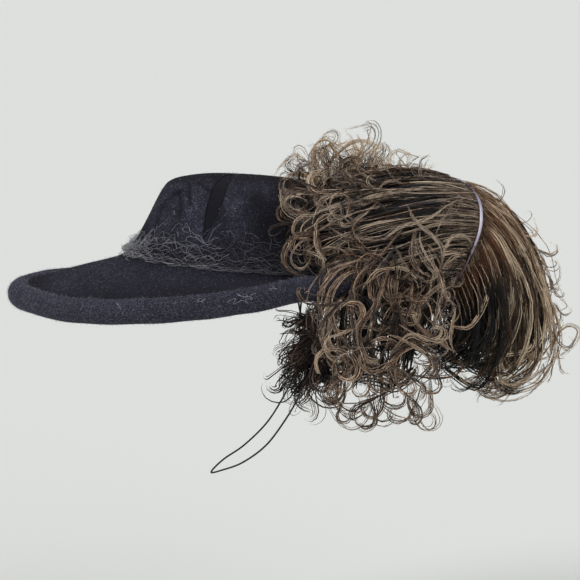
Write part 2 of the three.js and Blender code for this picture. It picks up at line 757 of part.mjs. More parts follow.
for (const side of [1, -1]) {
  const [x, y, z] = ELASTIC_WAY[0];
  const knot = new THREE.SphereGeometry(KNOT.radius, KNOT.around, KNOT.over);
  knot.rotateX(Math.PI / 2);
  knot.translate(side * x, y, z + KNOT.radius + GAP);
  addPiece(side > 0 ? "elastic_knot_left" : "elastic_knot_right", geometryOf(solidOf(knot)), 0x151518, 0.8);
}

export default group;
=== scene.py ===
import json
import math

import bpy
import numpy as np
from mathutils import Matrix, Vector
from mathutils.bvhtree import BVHTree

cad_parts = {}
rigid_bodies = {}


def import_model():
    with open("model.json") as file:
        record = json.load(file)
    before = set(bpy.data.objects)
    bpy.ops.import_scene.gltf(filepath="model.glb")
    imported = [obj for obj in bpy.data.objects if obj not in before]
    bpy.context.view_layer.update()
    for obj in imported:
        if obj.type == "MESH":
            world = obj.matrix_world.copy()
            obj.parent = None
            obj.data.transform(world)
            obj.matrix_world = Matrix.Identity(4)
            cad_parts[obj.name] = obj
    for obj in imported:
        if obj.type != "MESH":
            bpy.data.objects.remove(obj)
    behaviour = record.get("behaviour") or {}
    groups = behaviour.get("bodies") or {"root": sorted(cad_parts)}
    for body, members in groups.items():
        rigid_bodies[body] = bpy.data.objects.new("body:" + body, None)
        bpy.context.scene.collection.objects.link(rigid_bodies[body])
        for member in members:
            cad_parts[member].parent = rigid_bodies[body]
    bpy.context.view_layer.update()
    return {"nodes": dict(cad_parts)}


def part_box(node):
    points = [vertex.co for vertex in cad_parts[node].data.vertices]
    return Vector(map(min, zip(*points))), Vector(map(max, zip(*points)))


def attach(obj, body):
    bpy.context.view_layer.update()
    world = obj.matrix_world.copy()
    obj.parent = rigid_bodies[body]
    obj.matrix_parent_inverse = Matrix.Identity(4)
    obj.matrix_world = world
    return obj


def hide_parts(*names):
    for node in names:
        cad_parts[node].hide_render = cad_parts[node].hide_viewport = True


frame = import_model()
scene = bpy.context.scene
mm = 0.001  # the tables are in millimetres
anyPhase = (0, 6.3)  # where a random wave may start
xAxis = np.array([1.0, 0, 0])


# shapes

def unit(vectors):
    vectors = np.asarray(vectors, float)
    return vectors / np.maximum(np.linalg.norm(vectors, axis=-1, keepdims=True), 1e-9)


# a smooth curve through rows of values, read at places counted in rows
def through(rows, places):
    rows = np.asarray(rows, float)
    last = len(rows) - 1
    places = np.clip(np.atleast_1d(places), 0, last - 1e-9)
    index = places.astype(int)
    share = (places - index).reshape((-1,) + (1,) * (rows.ndim - 1))
    before, a = rows[np.maximum(index - 1, 0)], rows[index]
    b, after = rows[index + 1], rows[np.minimum(index + 2, last)]
    return 0.5 * (2 * a + (b - before) * share
                  + (2 * before - 5 * a + 4 * b - after) * share ** 2
                  + (3 * a - before - 3 * b + after) * share ** 3)


# the whole of such a curve at a number of places
def wholeCurve(rows, count):
    return through(rows, np.linspace(0, len(rows) - 1, count))


# length from the first row of points to each row
def runAlong(rows):
    steps = np.linalg.norm(np.diff(rows, axis=0), axis=-1)
    return np.concatenate([[0], np.cumsum(steps.mean(1) if steps.ndim > 1 else steps)])


def resample(way, known, places):
    return np.stack([np.interp(places, known, way[:, axis]) for axis in range(3)], 1)


def evenly(way, count):
    run = runAlong(way)
    return resample(way, run, np.linspace(0, run[-1], count))


def ringAngles(count):
    return np.arange(count) * 2 * math.pi / count


# degrees from the front, on either side
def fromFront(turns):
    return np.abs((np.asarray(turns) + 180) % 360 - 180)


# four-sided faces between rows of points that run round
def gridFaces(rows, columns, start=0, closed=False):
    faces = []
    for i in range(rows if closed else rows - 1):
        a, b = start + i * columns, start + (i + 1) % rows * columns
        faces += [(a + j, b + j, b + (j + 1) % columns, a + (j + 1) % columns) for j in range(columns)]
    return faces


def newMesh(name, points, faces, edges=()):
    mesh = bpy.data.meshes.new(name)
    mesh.from_pydata((np.asarray(points, float) * mm).tolist(), list(edges), list(faces))
    mesh.update()
    return mesh


def finishMesh(mesh, material=None, sharpAngle=None):
    if material:
        mesh.materials.clear()
        mesh.materials.append(material)
    mesh.polygons.foreach_set("use_smooth", [True] * len(mesh.polygons))
    mesh.update()
    if sharpAngle:
        mesh.set_sharp_from_angle(angle=math.radians(sharpAngle))
    return mesh


def giveAttribute(mesh, name, values):
    attribute = mesh.attributes.new(name, "FLOAT", "POINT")
    attribute.data.foreach_set("value", np.asarray(values, np.float32).ravel())


def newObject(name, data):
    obj = bpy.data.objects.new(name, data)
    scene.collection.objects.link(obj)
    return obj


def dropObject(obj):
    mesh = obj.data
    bpy.data.objects.remove(obj)
    bpy.data.meshes.remove(mesh)


# what a modifier makes of an object, as a plain mesh
def takeResult(obj, modifier):
    mesh = bpy.data.meshes.new_from_object(obj.evaluated_get(bpy.context.evaluated_depsgraph_get()))
    obj.modifiers.remove(modifier)
    return mesh


def seat(piece, slot, *nodes):
    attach(piece, "root")
    if nodes:
        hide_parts(*nodes)
    return piece


# a tube with closed ends along a way, mapped round it and along it in millimetres
def tubeMesh(name, way, radii, sides, flat=1.0, endReach=0.6):
    count = len(way)
    radii = np.broadcast_to(np.asarray(radii, float), count)
    along, across, angles, rings = unit(np.gradient(way, axis=0)), xAxis, ringAngles(sides), []
    for place, direction, radius in zip(way, along, radii):
        across = unit(across - direction * (across @ direction))
        other = np.cross(direction, across)
        ring = np.outer(np.cos(angles), across) + flat * np.outer(np.sin(angles), other)
        rings.append(place + radius * ring)
    ends = [way[0] - along[0] * radii[0] * endReach, way[-1] + along[-1] * radii[-1] * endReach]
    run = runAlong(way)
    faces, maps = [], []
    for i in range(count - 1):
        for k in range(sides):
            n = (k + 1) % sides
            faces.append((i * sides + k, i * sides + n, (i + 1) * sides + n, (i + 1) * sides + k))
            u0, u1 = k / sides, (k + 1) / sides
            maps += [(u0, run[i]), (u1, run[i]), (u1, run[i + 1]), (u0, run[i + 1])]
    start, tail = count * sides, (count - 1) * sides
    for k in range(sides):
        n = (k + 1) % sides
        faces += [(start, n, k), (start + 1, tail + k, tail + n)]
        maps += [(0.5, -1), (n / sides, 0), (k / sides, 0),
                 (0.5, run[-1] + 1), (k / sides, run[-1]), (n / sides, run[-1])]
    mesh = newMesh(name, np.vstack([*rings, *ends]), faces)
    mesh.uv_layers.new(name="wrap").data.foreach_set("uv", np.asarray(maps, np.float32).ravel())
    return mesh


# shader and geometry trees

def colour(red, green, blue):
    linear = [((c / 255 + 0.055) / 1.055) ** 2.4 if c > 10 else c / 255 / 12.92 for c in (red, green, blue)]
    return (*linear, 1.0)


# sets or links a node's inputs
def plug(node, inputs):
    for name, given in inputs.items():
        if isinstance(given, bpy.types.NodeSocket):
            node.id_data.links.new(given, node.inputs[name])
        else:
            node.inputs[name].default_value = given


def newNode(tree, kind, inputs, **settings):
    node = tree.nodes.new(kind)
    for name, setting in settings.items():
        setattr(node, name, setting)
    plug(node, inputs)
    return node


# a new node's first output
def value(tree, kind, inputs, **settings):
    return newNode(tree, kind, inputs, **settings).outputs[0]


def mathValue(tree, operation, a, b, clamp=False):
    return value(tree, "ShaderNodeMath", {0: a, 1: b}, operation=operation, use_clamp=clamp)


def times(tree, first, *others):
    for other in others:
        first = mathValue(tree, "MULTIPLY", first, other)
    return first


def ranged(tree, source, low, high, toLow=0.0, toHigh=1.0):
    return value(tree, "ShaderNodeMapRange", {"Value": source, "From Min": low, "From Max": high,
                                              "To Min": toLow, "To Max": toHigh})


def mixed(tree, share, a, b):
    return newNode(tree, "ShaderNodeMix", {"Factor": share, "A": a, "B": b}, data_type="RGBA").outputs[2]


def combined(tree, x, y, z):
    return value(tree, "ShaderNodeCombineXYZ", {"X": x, "Y": y, "Z": z})


def noise(tree, place, scale, detail=2.0, roughness=0.5, distortion=0.0):
    return value(tree, "ShaderNodeTexNoise", {"Vector": place, "Scale": scale, "Detail": detail,
                                              "Roughness": roughness, "Distortion": distortion})


def objectPlace(tree):
    return newNode(tree, "ShaderNodeTexCoord", {}).outputs["Object"]


def shaderAttribute(tree, name):
    return newNode(tree, "ShaderNodeAttribute", {}, attribute_name=name).outputs["Fac"]


def bumped(tree, height, strength, distance):
    return value(tree, "ShaderNodeBump", {"Strength": strength, "Distance": distance, "Height": height})


# a tree with named inputs: its inputs' sockets and its output node
def newGroup(name, kind, inputs, outputs):
    tree = bpy.data.node_groups.new(name, kind)
    for label, socketKind, standard in inputs:
        socket = tree.interface.new_socket(label, in_out="INPUT", socket_type="NodeSocket" + socketKind)
        if standard is not None:
            socket.default_value = standard
    for label, socketKind in outputs:
        tree.interface.new_socket(label, in_out="OUTPUT", socket_type="NodeSocket" + socketKind)
    return tree, tree.nodes.new("NodeGroupInput").outputs, tree.nodes.new("NodeGroupOutput")


finishOutputs = [("Color", "Color"), ("Height", "Float"), ("Roughness", "Float")]


def newMaterial(name, settings):
    material = bpy.data.materials.new(name)
    material.use_nodes = True
    shader = material.node_tree.nodes["Principled BSDF"]
    plug(shader, settings)
    return material, material.node_tree, shader


# a material whose colour, roughness and relief come from a shared group
def groupMaterial(name, group, settings, values, bumpStrength, bumpDistance, mask=None):
    material, tree, shader = newMaterial(name, settings)
    node = newNode(tree, "ShaderNodeGroup", {}, node_tree=group)
    plug(node, values)
    if mask:
        plug(node, {mask[0]: shaderAttribute(tree, mask[1])})
    plug(shader, {"Base Color": node.outputs["Color"], "Roughness": node.outputs["Roughness"],
                  "Normal": bumped(tree, node.outputs["Height"], bumpStrength, bumpDistance)})
    return material


# runs a geometry tree on an object and keeps the result in a new object
def runTree(name, source, tree, values):
    modifier = source.modifiers.new(tree.name, "NODES")
    modifier.node_group = tree
    sockets = {item.name: item.identifier for item in tree.interface.items_tree if item.in_out == "INPUT"}
    for label, setting in values.items():
        modifier[sockets[label]] = setting
    mesh = takeResult(source, modifier)
    mesh.name = name
    return newObject(name, finishMesh(mesh))


# camera, square to the side that the plumes are on and a little above

cameraPlace = {"azimuth": 90, "elevation": 8, "distance": 1600, "aim": (0, 20, -5), "lens": 139}


def makeCamera(setup):
    data = bpy.data.cameras.new("camera")
    data.lens, data.sensor_width, data.clip_start, data.clip_end = setup["lens"], 36, 0.05, 200
    camera = newObject("camera", data)
    a, e = math.radians(setup["azimuth"]), math.radians(setup["elevation"])
    back = Vector((math.sin(a) * math.cos(e), -math.cos(a) * math.cos(e), math.sin(e)))
    camera.location = (Vector(setup["aim"]) + back * setup["distance"]) * mm
    camera.rotation_mode = "QUATERNION"
    camera.rotation_quaternion = (-back).to_track_quat("-Z", "Y")
    scene.camera = camera


makeCamera(cameraPlace)


# chin elastic: one loop that hangs from the left knot inside the crown and comes up to the right knot

elastic = {
    "diameter": 1.3,
    "points": 170,
    "sides": 10,
    "knotSize": 1.25,
    "knotThread": 0.62,
    "leftHalf": [
        (68.5, 28.8, 15.2), (69.9, 28.7, 9.5), (72, 28.2, 2), (72.6, 27.1, -9.2), (70, 26.4, -24.1),
        (66, 29.3, -40.5), (62, 30, -57), (57, 25, -73.5), (50, 15.7, -91), (41, 2.9, -109.7),
        (30, -13.6, -124.2), (18, -28.6, -132.4), (0, -37, -137.8),
    ],
}


def elasticMaterial():
    material, tree, shader = newMaterial("covered elastic", {"Roughness": 0.55, "Specular IOR Level": 0.4})
    turned = value(tree, "ShaderNodeMapping", {
        "Vector": value(tree, "ShaderNodeUVMap", {}, uv_map="wrap"), "Scale": (4, 1.4, 1),
        "Rotation": (0, 0, 0.5),
    })
    braid = newNode(tree, "ShaderNodeTexWave", {"Vector": turned, "Scale": 1.0, "Distortion": 1.0},
                    wave_type="BANDS").outputs["Fac"]
    plug(shader, {"Base Color": mixed(tree, braid, colour(12, 12, 14), colour(38, 37, 41)),
                  "Normal": bumped(tree, braid, 0.5, 0.0002)})
    return material


def makeElastic(setup):
    half = np.array(setup["leftHalf"])
    controls = np.vstack([half, half[-2::-1] * (-1, 1, 1)])
    way = evenly(wholeCurve(controls, 900), setup["points"])
    material = elasticMaterial()
    mesh = tubeMesh("chinElastic", way, setup["diameter"] / 2, setup["sides"])
    cord = seat(newObject("chinElastic", finishMesh(mesh, material)), "elastic", "chin_elastic")
    t = np.linspace(0, 2 * math.pi, 49)[:-1]
    overhand = np.stack([np.sin(t) + 2 * np.sin(2 * t), np.cos(t) - 2 * np.cos(2 * t), -np.sin(3 * t)], 1) / 3
    for name, node in (("elasticKnotLeft", "elastic_knot_left"), ("elasticKnotRight", "elastic_knot_right")):
        low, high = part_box(node)
        knotWay = np.array((low + high) / 2) / mm + overhand * setup["knotSize"]
        mesh = tubeMesh(name, np.vstack([knotWay, knotWay[:2]]), setup["knotThread"], 7)
        seat(newObject(name, finishMesh(mesh, material)), "elastic", node)


makeElastic(elastic)


# the blocked felt, from the same sizes as the solids

feltShape = {
    "thickness": 2.4,
    "around": 264,
    "rows": 84,
    "topHeight": 77.3,
    # half width, half length, height, fall per millimetre to the back, squareness
    "levels": [
        (10, 20, 76.6, 0.08, 2), (20, 40, 75.2, 0.08, 2.1), (30, 57, 71.9, 0.075, 2.2),
        (39, 65.7, 68.4, 0.07, 2.3), (47, 70.4, 63.2, 0.066, 2.3), (55, 75.4, 54.2, 0.062, 2.25),
        (63, 81, 42.8, 0.06, 2.2), (70, 87, 31.6, 0.058, 2.1), (76, 93.4, 21.8, 0.057, 2),
        (80.5, 98.5, 16, 0.057, 2),
    ],
    # rows of the brim between the crown's foot and the roll: share of the way and sag
    "brim": [(0.14, 1.6), (0.55, 0.6)],
    # degrees round the roll where the brim's faces end
    "topJoin": 130,
    "underJoin": 158,
}
rollShape = {
    "seed": 4,
    "radius": 8.5,
    "joinRadius": 8.8,
    "halfWidth": 118,
    "halfLength": 145.2,
    "middleY": -27.2,
    "around": 300,
    "sides": 26,
    # degrees round the roll where it closes on the brim's edge and where painted shade starts on its
    # underside on the far side
    "pressed": 144,
    "under": 122,
    # degrees from the front and height
    "heights": [(0, -5), (25, -5.5), (44, -7), (58, -6), (72, -3.5), (86, 0), (98, 4.2), (112, 10.6),
                (145, 12), (180, 12)],
}
# creases and soft ridges in the side view: lift, width, loss of nap and points (y, height); the loss of nap
# darkens the felt along the line, painted shade, and where it is below zero it lightens it, painted highlight
feltCreases = [
    (1.0, 2.6, -0.25, [(-77, 38), (-76, 46), (-73, 55), (-67, 62), (-57, 67)]),
    (-1.1, 2.4, 0.6, [(-73, 40), (-71, 49), (-66, 58), (-57, 63.5)]),
    (-1.3, 1.3, 0.95, [(-50.5, 69), (-50, 62), (-49, 54)]),
    (-1.2, 1.1, 0.95, [(-44, 70), (-39, 66), (-34.5, 62.5)]),
    (-0.8, 1.2, 0.6, [(-57, 62), (-55, 54), (-56, 46)]),
    (0.6, 4.0, -0.1, [(-60, 44), (-52, 40), (-44, 38)]),
    (-0.7, 1.3, -0.35, [(1.5, 69), (3, 65), (4.5, 60)]),
    (0.5, 5.0, 0.3, [(-4, 66), (0, 50), (2, 34)]),
]
# where the nap is brushed up and where light is painted on: place (y, height), reach (y, height) and
# strength; the mask is partly brushed nap and partly painted light, and where it stays low the felt stays
# dark, painted shade
feltNapAndLight = [
    (-46, 54, 11, 15, 1.0), (-63, 57, 9, 9, 0.7), (-67, 43, 10, 13, 0.6), (-47, 34, 17, 11, 0.75),
    (-19, 54, 9, 15, 0.8), (-16, 38, 10, 14, 0.55), (-52, 67, 22, 4, 0.6), (-8, 66, 12, 5, 0.45),
    (4, 63, 6, 7, 0.2), (-12, 22, 20, 8, 0.2), (-104, 6, 38, 14, 0.5), (-60, 6, 50, 9, 0.36),
    (-134, 0, 16, 10, 0.55), (-20, 4, 40, 6, 0.18),
]
sight = math.radians(8)  # the side view's tilt
sightBack = np.array([math.cos(sight), 0, math.sin(sight)])
sightUp = np.array([-math.sin(sight), 0, math.cos(sight)])


def crownRing(level, turns):
    halfWidth, halfLength, height, fall, square = level
    s, c = np.sin(turns), np.cos(turns)
    y = -halfLength * np.sign(c) * np.abs(c) ** (2 / square)
    return np.stack([halfWidth * np.sign(s) * np.abs(s) ** (2 / square), y, height - fall * y], 1)


# points on the roll: turns from the front, degrees round the roll, and distance from its middle
def rollPoints(turns, section, radius):
    halfWidth, halfLength = rollShape["halfWidth"], rollShape["halfLength"]
    angles = fromFront(np.degrees(turns) % 360)
    table = np.array(rollShape["heights"], float)
    index = np.clip(np.searchsorted(table[:, 0], angles) - 1, 0, len(table) - 2)
    share = (angles - table[index, 0]) / (table[index + 1, 0] - table[index, 0])
    share = 0.5 * share + 0.5 * share * share * (3 - 2 * share)
    height = table[index, 1] + (table[index + 1, 1] - table[index, 1]) * share
    middle = np.stack([halfWidth * np.sin(turns), rollShape["middleY"] - halfLength * np.cos(turns), height],
                      1)
    outward = unit(np.stack([halfLength * np.sin(turns), -halfWidth * np.cos(turns), 0 * turns], 1))
    angle = np.radians(section)
    return middle + radius * (np.cos(angle) * outward + np.sin(angle) * np.array([0, 0, 1]))


# rows of points from the crown's top out to the roll, their places counted in levels, and their turns
def feltRows(shape):
    turns = ringAngles(shape["around"])
    top = np.tile([0, 0, shape["topHeight"]], (len(turns), 1)).astype(float)
    rows = [top] + [crownRing(level, turns) for level in shape["levels"]]
    foot, join = rows[-1], rollPoints(turns, shape["topJoin"], rollShape["joinRadius"])
    for share, sag in shape["brim"]:
        row = foot * (1 - share) + join * share
        row[:, 2] -= sag
        rows.append(row)
    rows = np.array([*rows, join])
    fine = np.linspace(0, len(rows) - 1, 400)
    run = runAlong(through(rows, fine))
    places = np.interp(np.linspace(0, run[-1], shape["rows"]), run, fine)
    return through(rows, places), places, turns


def lineDistance(y, height, line):
    best = np.full(y.shape, 1e9)
    for (y0, h0), (y1, h1) in zip(line, line[1:]):
        dy, dh = y1 - y0, h1 - h0
        share = np.clip(((y - y0) * dy + (height - h0) * dh) / (dy * dy + dh * dh), 0, 1)
        best = np.minimum(best, np.hypot(y - y0 - share * dy, height - h0 - share * dh))
    return best


def sideView(points):
    return points[..., 1], np.abs(points[..., 0]) * sightUp[0] + points[..., 2] * sightUp[2]


def rowNormals(rows):
    around = np.roll(rows, -1, axis=1) - np.roll(rows, 1, axis=1)
    normals = np.cross(np.gradient(rows, axis=0), around)
    normals[0] = [0, 0, 1]
    return unit(normals)


def creased(rows, places):
    normals = rowNormals(rows)
    y, height = sideView(rows)
    crownPart = 1 - np.clip((places - 9) / 1.5, 0, 1)[:, None]
    steep = np.clip(np.abs(normals[..., 0]) * 2.5, 0, 1)
    for lift, width, _, line in feltCreases:
        near = np.exp(-(lineDistance(y, height, line) / width) ** 2)
        rows = rows + normals * (lift * near * steep * crownPart)[..., None]
    return rows


# the nap mask from the side view: brushed nap with painted light and painted shade, and creases that take
# from it or add to it
def napAndLightShare(points):
    y, height = sideView(points)
    napAndLight = np.zeros(y.shape)
    for atY, atHeight, reachY, reachHeight, strength in feltNapAndLight:
        near = np.exp(-((y - atY) / reachY) ** 2 - ((height - atHeight) / reachHeight) ** 2)
        napAndLight = np.maximum(napAndLight, strength * near)
    # painted shade along a line where its shade is above zero, painted highlight where it is below zero
    for _, width, shade, line in feltCreases:
        near = np.exp(-(lineDistance(y, height, line) / width) ** 2)
        napAndLight = napAndLight * (1 - shade * near) if shade > 0 else napAndLight - shade * near
    return np.clip(napAndLight, 0, 1)


feltOuter, feltPlaces, feltTurns = feltRows(feltShape)
feltOuter = creased(feltOuter, feltPlaces)
feltNormals = rowNormals(feltOuter)


# a point off the crown's outside: turn from the front in degrees, place counted in levels from the top
def onCrown(turn, place, off):
    row = np.interp(place, feltPlaces, np.arange(len(feltPlaces)))
    column = (np.asarray(turn) % 360) / 360 * len(feltTurns)
    r0 = np.clip(np.floor(row).astype(int), 0, len(feltPlaces) - 2)
    c0 = np.floor(column).astype(int) % len(feltTurns)
    c1 = (c0 + 1) % len(feltTurns)
    fr, fc = (row - r0)[..., None], (column - np.floor(column))[..., None]

    def blend(grid):
        upper = grid[r0, c0] * (1 - fc) + grid[r0, c1] * fc
        lower = grid[r0 + 1, c0] * (1 - fc) + grid[r0 + 1, c1] * fc
        return upper * (1 - fr) + lower * fr

    return blend(feltOuter) + blend(feltNormals) * np.asarray(off)[..., None]


# felt finishes

def feltGroup():
    tree, given, end = newGroup("feltNapAndLight", "ShaderNodeTree", [
        ("Felt", "Color", colour(40, 40, 49)), ("Fibre", "Color", colour(90, 90, 101)), ("NapAndLight", "Float", 1.0),
        ("Grain", "Float", 620.0), ("Speck", "Float", 0.5), ("Lift", "Float", 0.1),
    ], finishOutputs)
    place = objectPlace(tree)
    grain = noise(tree, place, given["Grain"], 2.0, 0.55, 1.5)
    fine = noise(tree, place, 1150.0, 2.0, 0.5, 2.5)
    patch = ranged(tree, noise(tree, place, 90.0, 6.0, 0.7), 0.36, 0.64, 0.55, 1.0)
    swell = ranged(tree, noise(tree, place, 16.0), 0.3, 0.7, 0.0, 0.03)
    flecks = mathValue(tree, "ADD", ranged(tree, grain, 0.54, 0.66), ranged(tree, fine, 0.56, 0.66, 0.0, 0.7))
    # the mask lifts the felt's colour towards the fibres' colour: brushed nap and painted light
    patchyNapAndLight = times(tree, given["NapAndLight"], patch)
    shown = times(tree, flecks, given["Speck"], ranged(tree, patchyNapAndLight, 0.0, 0.8, 0.12, 1.0))
    lifted = mathValue(tree, "ADD", times(tree, patchyNapAndLight, given["Lift"]), swell)
    plug(end, {"Color": mixed(tree, mathValue(tree, "ADD", shown, lifted, True), given["Felt"],
                              given["Fibre"]),
               "Height": mathValue(tree, "ADD", grain, times(tree, fine, 0.5)),
               "Roughness": ranged(tree, grain, 0.2, 0.8, 0.85, 1.0)})
    return tree


feltTree = feltGroup()


def feltMaterial(name, felt, fibre, speck, grain, bumpStrength=0.8, mask=("NapAndLight", "napAndLight")):
    settings = {"Specular IOR Level": 0.06, "Sheen Weight": 0.03, "Sheen Roughness": 0.6,
                "Sheen Tint": colour(190, 190, 205)}
    values = {"Felt": colour(*felt), "Fibre": colour(*fibre), "Speck": speck, "Grain": grain}
    return groupMaterial(name, feltTree, settings, values, bumpStrength, 0.0007, mask)


bodyFelt = feltMaterial("wool felt", (12, 12, 16), (114, 113, 136), 0.6, 760.0)
# the roll has the body's wool felt painted lighter: painted light on the roll, which faces the light
rollFeltPaintedLighter = feltMaterial("rolled rim felt painted lighter", (18, 18, 24), (114, 113, 133), 0.55, 1000.0)
insetFelt = feltMaterial("smooth inset felt", (17, 17, 22), (50, 50, 60), 0.2, 1000.0, bumpStrength=0.3,
                         mask=None)


# crown and brim, one shell with the crescent cut in

insetShape = {
    "depth": 1.3,
    "gap": 0.3,
    "sunk": 0.35,
    "rows": 40,
    "across": 10,
    # height, front edge and back edge in the side view
    "edges": [
        (76.9, -22.4, -21.2), (75.4, -26.2, -21.1), (73.6, -28.2, -21.4), (68.5, -32.4, -23),
        (60, -35.4, -25.2), (50, -37.6, -28.6), (41, -38.8, -32.6), (31, -39.5, -37.9),
    ],
}


def shellMesh(name):
    rows, columns = feltOuter.shape[:2]
    inner = (feltOuter - feltNormals * feltShape["thickness"])[::-2][1:]
    edge = rollPoints(feltTurns, feltShape["underJoin"], rollShape["joinRadius"])
    innerTop = [[0, 0, feltShape["topHeight"] - feltShape["thickness"]]]
    points = np.vstack([feltOuter[0, :1], feltOuter[1:].reshape(-1, 3), edge, inner[:-1].reshape(-1, 3),
                        innerTop])
    rings = rows + len(inner) - 1
    tail = 1 + (rings - 1) * columns
    faces = [(0, 1 + j, 1 + (j + 1) % columns) for j in range(columns)] + gridFaces(rings, columns, 1)
    faces += [(len(points) - 1, tail + (j + 1) % columns, tail + j) for j in range(columns)]
    mesh = newMesh(name, points, faces)
    giveAttribute(mesh, "napAndLight", napAndLightShare(points))
    return mesh


# the crescent as a solid between two heights off the crown, grown at its edges
def crescentSolid(name, grown, outside, inside, crown):
    fine = wholeCurve(insetShape["edges"], insetShape["rows"])
    fine[:, 1] -= grown
    fine[:, 2] += grown
    fine[0, 0] += grown
    fine[-1, 0] -= grown
    shares = np.linspace(0, 1, insetShape["across"])
    y = fine[:, 1:2] * (1 - shares) + fine[:, 2:3] * shares
    rows, across = y.shape
    surface, normals = np.zeros((rows, across, 3)), np.zeros((rows, across, 3))
    for i, j in np.ndindex(rows, across):
        start = 200 * sightBack + np.array([0, y[i, j], 0]) + fine[i, 0] * sightUp
        hit, normal, _, _ = crown.ray_cast(Vector(start * mm), Vector(-sightBack))
        surface[i, j], normals[i, j] = np.array(hit) / mm, normal
    points = np.vstack([(surface + normals * outside).reshape(-1, 3),
                        (surface + normals * inside).reshape(-1, 3)])
    faces, under = [], rows * across
    for i, j in np.ndindex(rows - 1, across - 1):
        a = i * across + j
        faces.append((a, a + across, a + across + 1, a + 1))
        faces.append((under + a, under + a + 1, under + a + across + 1, under + a + across))
    edge = [i * across for i in range(rows)] + [(rows - 1) * across + j for j in range(1, across)]
    edge += [i * across + across - 1 for i in range(rows - 2, -1, -1)] + list(range(across - 2, 0, -1))
    faces += [(a, under + a, under + b, b) for a, b in zip(edge, edge[1:] + edge[:1])]
    return newMesh(name, points, faces)


def makeBody():
    shell = newObject("feltBody", shellMesh("feltBody"))
    crown = BVHTree.FromPolygons((feltOuter.reshape(-1, 3) * mm).tolist(), gridFaces(*feltOuter.shape[:2]))
    cutter = newObject("crescentCut", crescentSolid("crescentCut", 0.0, 4.0, -insetShape["depth"], crown))
    cut = shell.modifiers.new("cut", "BOOLEAN")
    cut.operation, cut.object, cut.solver = "DIFFERENCE", cutter, "EXACT"
    shell.data = finishMesh(takeResult(shell, cut), bodyFelt, 50)
    dropObject(cutter)
    seat(shell, "wool_felt", "felt_body")
    inset = crescentSolid("crownInset", -insetShape["gap"], -insetShape["sunk"], -insetShape["depth"] + 0.1,
                          crown)
    seat(newObject("crownInset", finishMesh(inset, insetFelt, 40)), "inset_felt", "crown_inset")
    print("felt body:", len(shell.data.polygons), "faces")
    return shell, crown


feltBody, crownSurface = makeBody()


# padded roll round the rim

def makeRoll(shape):
    rng = np.random.default_rng(shape["seed"])
    turns = ringAngles(shape["around"])
    wobble = sum(rng.normal(0, 0.11) * np.sin(k * turns + rng.uniform(*anyPhase)) for k in range(5, 19))
    sections = np.arange(shape["sides"]) * 360 / shape["sides"]
    rings = np.array([rollPoints(turns, angle, shape["radius"]) for angle in sections])
    middle = rings.mean(0)
    pressed = np.clip(1.9 - np.abs(sections - shape["pressed"]) / 20, 0, 1)[:, None]
    swell = (wobble[None, :] * np.cos(np.radians(sections))[:, None] - 0.12) * (1 - pressed) + 0.5 * pressed
    rings = middle + (rings - middle) * (1 + swell / shape["radius"])[..., None]
    mesh = newMesh("rimRoll", rings.transpose(1, 0, 2).reshape(-1, 3),
                   gridFaces(shape["around"], shape["sides"], closed=True))
    # painted shade: the nap mask is lowered on the far side's underside and on the near side towards the
    # back, so the roll is darker there and has fewer loose fibres
    under = np.clip((sections - shape["under"]) / 14, 0, 1) * (sections < 250)
    napAndLight = 1 - 0.95 * under[None, :] * (np.sin(turns) < -0.05)[:, None]
    giveAttribute(mesh, "napAndLight", (napAndLight - 0.25 * np.clip(np.cos(turns - 2.6), 0, 1)[:, None]).ravel())
    return seat(newObject("rimRoll", finishMesh(mesh, rollFeltPaintedLighter)), "wool_felt", "rim_roll")


rimRoll = makeRoll(rollShape)


# geometry trees for fibres, threads and barbs

# a thin blade that stands on its foot
def blade(tree, length, thickness):
    leaf = value(tree, "GeometryNodeMeshCircle", {"Vertices": 3, "Radius": 1.0}, fill_type="NGON")
    half = times(tree, length, 0.6667)
    shaped = value(tree, "GeometryNodeTransform", {"Geometry": leaf,
                                                   "Scale": combined(tree, thickness, half, 1.0)})
    return value(tree, "GeometryNodeTransform", {"Geometry": shaped,
                                                 "Translation": combined(tree, 0.0, 0.0, half),
                                                 "Rotation": (math.pi / 2, 0, 0)})


def pointValue(tree, name):
    return value(tree, "GeometryNodeInputNamedAttribute", {"Name": name}, data_type="FLOAT")


def randomValue(tree, low, high, seed):
    return newNode(tree, "FunctionNodeRandomValue", {2: low, 3: high, "Seed": seed},
                   data_type="FLOAT").outputs[1]


def rotated(tree, rotation, by):
    return value(tree, "FunctionNodeRotateRotation", {"Rotation": rotation, "Rotate By": by},
                 rotation_space="LOCAL")


def rotatedRound(tree, rotation, axis, angle):
    return rotated(tree, rotation, value(tree, "FunctionNodeAxisAngleToRotation",
                                         {"Axis": axis, "Angle": angle}))


def placedOn(tree, points, piece, rotation, size):
    return value(tree, "GeometryNodeInstanceOnPoints", {"Points": points, "Instance": piece,
                                                        "Rotation": rotation, "Scale": size})


def putOut(tree, geometry, given, end):
    real = value(tree, "GeometryNodeRealizeInstances", {"Geometry": geometry})
    plug(end, {"Geometry": value(tree, "GeometryNodeSetMaterial",
                                 {"Geometry": real, "Material": given["Material"]})})
    return tree


